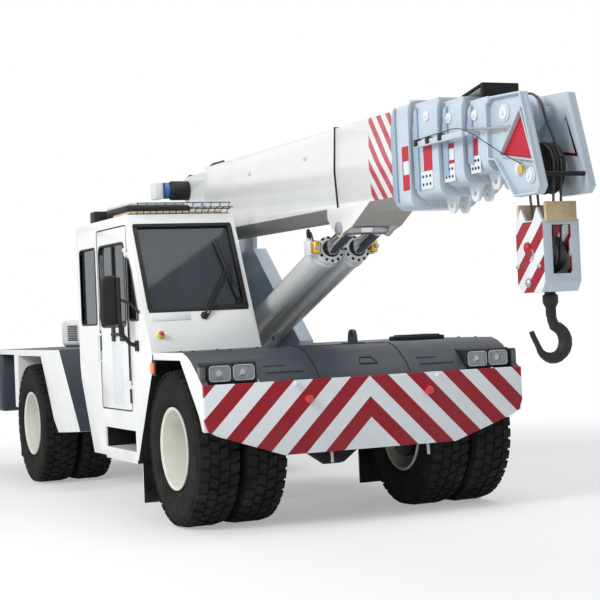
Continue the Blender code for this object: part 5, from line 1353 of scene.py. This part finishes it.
def makeHead():
    dressNode("boom_head", "boomGrey", 0.006)
    dressNode("head_sheave", "castIron", 0.002)
    dressNode("hook_block_body", ["blockPaint", "boomGrey", "timber"], 0.005, blockChoice)
    dressNode("hoist_falls", "ropeSteel", 0.0)
    dressNode("hook", "castIron", 0.002)
    window = boomHead["window"]
    inset = grownLoop(boomHead["plate"], -0.013)
    bosses, panels, frames, backs = [], [], [], []
    for s, _ in sides:
        out = s * boomHead["side"]
        for x, z, r in boomHead["bosses"]:
            bosses.append(lathe([(0.0, s * 0.032), (0.014, s * 0.032), (0.018, s * 0.026), (0.022, s * 0.022),
                                 (r - 0.010, s * 0.021),
                                 (r - 0.006, s * 0.012), (r, s * 0.010), (r, 0.0), (0.0, 0.0)], "Y", (x, out, z), 32))
        a, b = spanOf(s, 0.154, 0.158)
        panels.append(slab(window, "Y", a, b))
        a, b = spanOf(s, 0.127, 0.131)
        backs.append(slab(grownLoop(window, -0.03), "Y", a, b))
        a, b = spanOf(s, 0.153, 0.187)
        frames.append(ringSlab(inset, 0.012, "Y", a, b, 0.003))
        frames.append(ringSlab(window, 0.010, "Y", a, b, 0.003))
    addPiece("headBosses", "boom_fly", "palePlate", bosses)
    addPiece("headPanels", "boom_fly", "redPaint", panels)
    addPiece("headBacks", "boom_fly", "boomGrey", backs)
    addPiece("headFlanges", "boom_fly", "boomGrey", frames)
    addPiece("headSeal", "boom_fly", "blackPlastic", [slab([boomLoop(3, 0.012), boomLoop(3, 0.001)], "X", 2.776,
                                                           2.792)])
    addPiece("ropeGuide", "boom_fly", "blackPaint", [bar((3.325, -0.133, 2.20), (3.325, 0.133, 2.20), 0.014, 16)])
    # tray carried over the fly section, raised at its front
    tray = [(2.42, 2.750), (2.66, 2.792), (2.66, 2.804), (2.42, 2.762)]
    rails = [slab(tray, "Y", y - 0.008, y + 0.008, 0.002) for y in (-0.115, 0.115)]
    rails += [bar((x, -0.115, 2.756 + 0.175 * (x - 2.42)), (x, 0.115, 2.756 + 0.175 * (x - 2.42)), 0.0075, 8)
              for x in (2.43, 2.47, 2.51, 2.55, 2.59, 2.63)]
    rails.append(block((2.655, -0.125, 2.72), (2.685, 0.125, 2.806), 0.004))
    rails += [block((2.66, y - 0.01, 2.675), (2.68, y + 0.01, 2.73), 0.002) for y in (-0.10, 0.10)]
    addPiece("headTray", "boom_fly", "blackPaint", rails)
    addPiece("headTrayPlate", "boom_fly", "palePlate",
             [slab([(2.44, 2.748), (2.64, 2.783), (2.64, 2.788), (2.44, 2.753)], "Y", -0.10, 0.02)])
    # lock bar held off the collars, its rod to the head and a thin cable with a padlock
    bars = [block((2.07, -0.272, 2.484), (2.67, -0.244, 2.522), 0.004)]
    bars.append(block((2.655, -0.250, 2.49), (2.70, -0.150, 2.516), 0.004))
    addPiece("lockBar", "boom_fly", "boomGrey", bars)
    rod = [tube([(2.66, -0.222, 2.53), (3.05, -0.170, 2.488)], 0.009, 10),
           bar((3.05, -0.153, 2.488), (3.05, -0.182, 2.488), 0.016, 12)]
    addPiece("lockRod", "boom_fly", "steel", rod)
    clamps = [block((x - 0.022, -0.280, 2.492), (x + 0.022, -0.238, 2.534), 0.006) for x in (2.09, 2.24, 2.40)]
    addPiece("lockClamps", "boom_fly", "blackPlastic", clamps)
    line = smoothRoute([(2.09, -0.262, 2.532), (2.24, -0.264, 2.536), (2.40, -0.266, 2.538), (2.67, -0.262, 2.525),
                        (3.05, -0.235, 2.345), (3.19, -0.196, 2.27)], 36)
    addPiece("lockCable", "boom_fly", "cableBlack", [tube(line, 0.0028, 6)])
    shackle = [(x, -0.196, z) for x, z in circle(3.19, 2.262, 0.014, 16)]
    addPiece("padlockShackle", "boom_fly", "steel", [tube(shackle, 0.003, 6, True)])
    addPiece("padlock", "boom_fly", "brass", [block((3.168, -0.206, 2.212), (3.212, -0.188, 2.256), 0.003)])
    line = [tube(smoothRoute([(2.88, 0.025, 2.70), (2.985, 0.025, 2.695), (3.07, 0.025, 2.64), (3.13, 0.025, 2.52),
                              (3.19, 0.025, 2.42),
                             (3.257, 0.025, 2.30)], 24), 0.008, 8)]
    addPiece("hoistLineHead", "boom_fly", "ropeSteel", line)
    small, red = [], []
    for s, _ in sides:
        y = s * 0.1195
        for x, z, r, group in ((3.10, 1.80, 0.032, red), (3.098, 1.60, 0.028, small), (3.00, 1.693, 0.014, small),
                               (3.226, 1.69, 0.014, small)):
            group.append(lathe([(0.0, s * 0.022), (r * 0.45, s * 0.022), (r * 0.7, s * 0.014), (r * 0.92, s * 0.012),
                                (r, s * 0.004), (r, 0.0), (0.0, 0.0)],
                               "Y", (x, y, z), 20))
    addPiece("blockBosses", "hook_block", "redPaint", red)
    addPiece("blockBolts", "hook_block", "steel", small)
    print("head ready")


# ---- rear

hood = {"side": 0.5605, "grilles": 3, "grilleStep": 0.55, "slats": 9, "slatStep": 0.018}


def makeRear():
    louvres = []
    for s, _ in sides:
        for i in range(hood["slats"]):
            for j in range(hood["grilles"]):
                spot = (-3.95 - hood["grilleStep"] * j, s * hood["side"], 1.325 + hood["slatStep"] * i)
                louvres.append((spot, (0, s, 0), math.pi / 2))
    slat = block((-0.006, -0.18, -0.001), (0.006, 0.18, 0.006), 0.002)
    scatter("hoodLouvres", "engine_hood", "blackPaint", slat, louvres)
    pipe = [tube([(-4.2, 0.40, 1.50), (-4.2, 0.40, 1.66), (-4.22, 0.40, 1.74), (-4.30, 0.40, 1.79)], 0.04, 20)]
    addPiece("exhaustPipe", "engine_hood", "steel", pipe)
    latches = [block((-3.605, s * 0.3 - 0.03, 1.33), (-3.592, s * 0.3 + 0.03, 1.40), 0.003) for s, _ in sides]
    addPiece("hoodLatches", "engine_hood", "blackPlastic", latches)
    print("rear ready")


# the floor's shade gives way to plain white between fadeFrom and fadeTo metres from the middle
studio = {"floorHalf": 60, "floorTone": 0.90, "fadeFrom": 4.5, "fadeTo": 9.0, "fadeLeast": 0.35,
          "skyColour": (0.93, 0.96, 1.0, 1), "skyStrength": 0.52, "aim": (0, 0, 1.0),
          "lamps": (("keyLight", 1500, 6.0, (5.0, -13.0, 9.0)), ("topLight", 380, 8.0, (2.0, 2.0, 11.0)))}


def seenRays(tree):
    # 1 for what the camera, a mirror or a pane shows
    ray = addNode(tree, "ShaderNodeLightPath")
    seen = mathNode(tree, "MAXIMUM", ray.outputs["Is Camera Ray"], ray.outputs["Is Glossy Ray"])
    return mathNode(tree, "MAXIMUM", seen, ray.outputs["Is Transmission Ray"])


def makeStage():
    wide = studio["floorHalf"]
    floorMesh = bpy.data.meshes.new("floor")
    floorMesh.from_pydata([(-wide, -wide, 0), (wide, -wide, 0), (wide, wide, 0), (-wide, wide, 0)], [], [(0, 1, 2, 3)])
    floor = bpy.data.objects.new("floor", floorMesh)
    scene.collection.objects.link(floor)
    look = bpy.data.materials.new("paleFloor")
    look.use_nodes = True
    tree = look.node_tree
    shader = tree.nodes["Principled BSDF"]
    tone = studio["floorTone"]
    setInputs(shader, {"Base Color": (tone, tone, tone, 1), "Roughness": 0.9, "Specular IOR Level": 0.1})
    coords = addNode(tree, "ShaderNodeTexCoord")
    away = addNode(tree, "ShaderNodeVectorMath", operation="LENGTH")
    tree.links.new(coords.outputs["Object"], away.inputs[0])
    fade = addNode(tree, "ShaderNodeMapRange", interpolation_type="SMOOTHSTEP")
    tree.links.new(away.outputs["Value"], fade.inputs[0])
    setInputs(fade, {1: studio["fadeFrom"], 2: studio["fadeTo"], 3: studio["fadeLeast"], 4: 1.0})
    seen = seenRays(tree)
    glow = addNode(tree, "ShaderNodeEmission")
    setInputs(glow, {"Color": (1, 1, 1, 1)})
    blend = addNode(tree, "ShaderNodeMixShader")
    tree.links.new(mathNode(tree, "MULTIPLY", seen, fade.outputs[0]), blend.inputs[0])
    tree.links.new(shader.outputs[0], blend.inputs[1])
    tree.links.new(glow.outputs[0], blend.inputs[2])
    tree.links.new(blend.outputs[0], tree.nodes["Material Output"].inputs[0])
    floorMesh.materials.append(look)
    world = bpy.data.worlds.new("studio")
    scene.world = world
    world.use_nodes = True
    tree = world.node_tree
    back = tree.nodes["Background"]
    setInputs(back, {"Color": studio["skyColour"], "Strength": studio["skyStrength"]})
    pale = addNode(tree, "ShaderNodeBackground")
    setInputs(pale, {"Color": (1, 1, 1, 1), "Strength": 1.0})
    mix = addNode(tree, "ShaderNodeMixShader")
    tree.links.new(seenRays(tree), mix.inputs[0])
    tree.links.new(back.outputs[0], mix.inputs[1])
    tree.links.new(pale.outputs[0], mix.inputs[2])
    tree.links.new(mix.outputs[0], tree.nodes["World Output"].inputs[0])
    for name, energy, size, place in studio["lamps"]:
        data = bpy.data.lights.new(name, "AREA")
        data.energy = energy
        data.size = size
        lampObj = bpy.data.objects.new(name, data)
        lampObj.location = place
        lampObj.rotation_euler = (Vector(studio["aim"]) - Vector(place)).to_track_quat("-Z", "Y").to_euler()
        scene.collection.objects.link(lampObj)
    print("studio ready")


# the camera as it was fitted to the photograph; focal length and centre are in pixels of its 600 x 600 frame
view = {"yaw": 0.42577, "pitch": 0.02244, "roll": -0.04386, "place": (10.8058, -4.8730, 1.4702), "focal": 1586.09,
        "centre": (326.86, 279.30), "frame": 600, "sensor": 36.0}


def makeCamera():
    yaw, pitch, roll = view["yaw"], view["pitch"], view["roll"]
    ahead = Vector((-math.cos(yaw) * math.cos(pitch), math.sin(yaw) * math.cos(pitch), math.sin(pitch)))
    right = ahead.cross(Vector((0, 0, 1))).normalized()
    up = right.cross(ahead)
    right, up = right * math.cos(roll) + up * math.sin(roll), up * math.cos(roll) - right * math.sin(roll)
    data = bpy.data.cameras.new("camera")
    size = view["frame"]
    data.sensor_width = view["sensor"]
    data.lens = view["focal"] / size * view["sensor"]
    data.shift_x = (size / 2 - view["centre"][0]) / size
    data.shift_y = (view["centre"][1] - size / 2) / size
    data.clip_end = 200
    camera = bpy.data.objects.new("camera", data)
    place = Matrix((right, up, -ahead)).transposed().to_4x4()
    place.translation = Vector(view["place"]) + shift
    camera.matrix_world = place
    scene.collection.objects.link(camera)
    scene.camera = camera
    print("camera ready")


makeCamera()
makeStage()
makeWheels()
makeBodywork()
makeFront()
makeCab()
makeBoom()
makeHead()
makeRear()
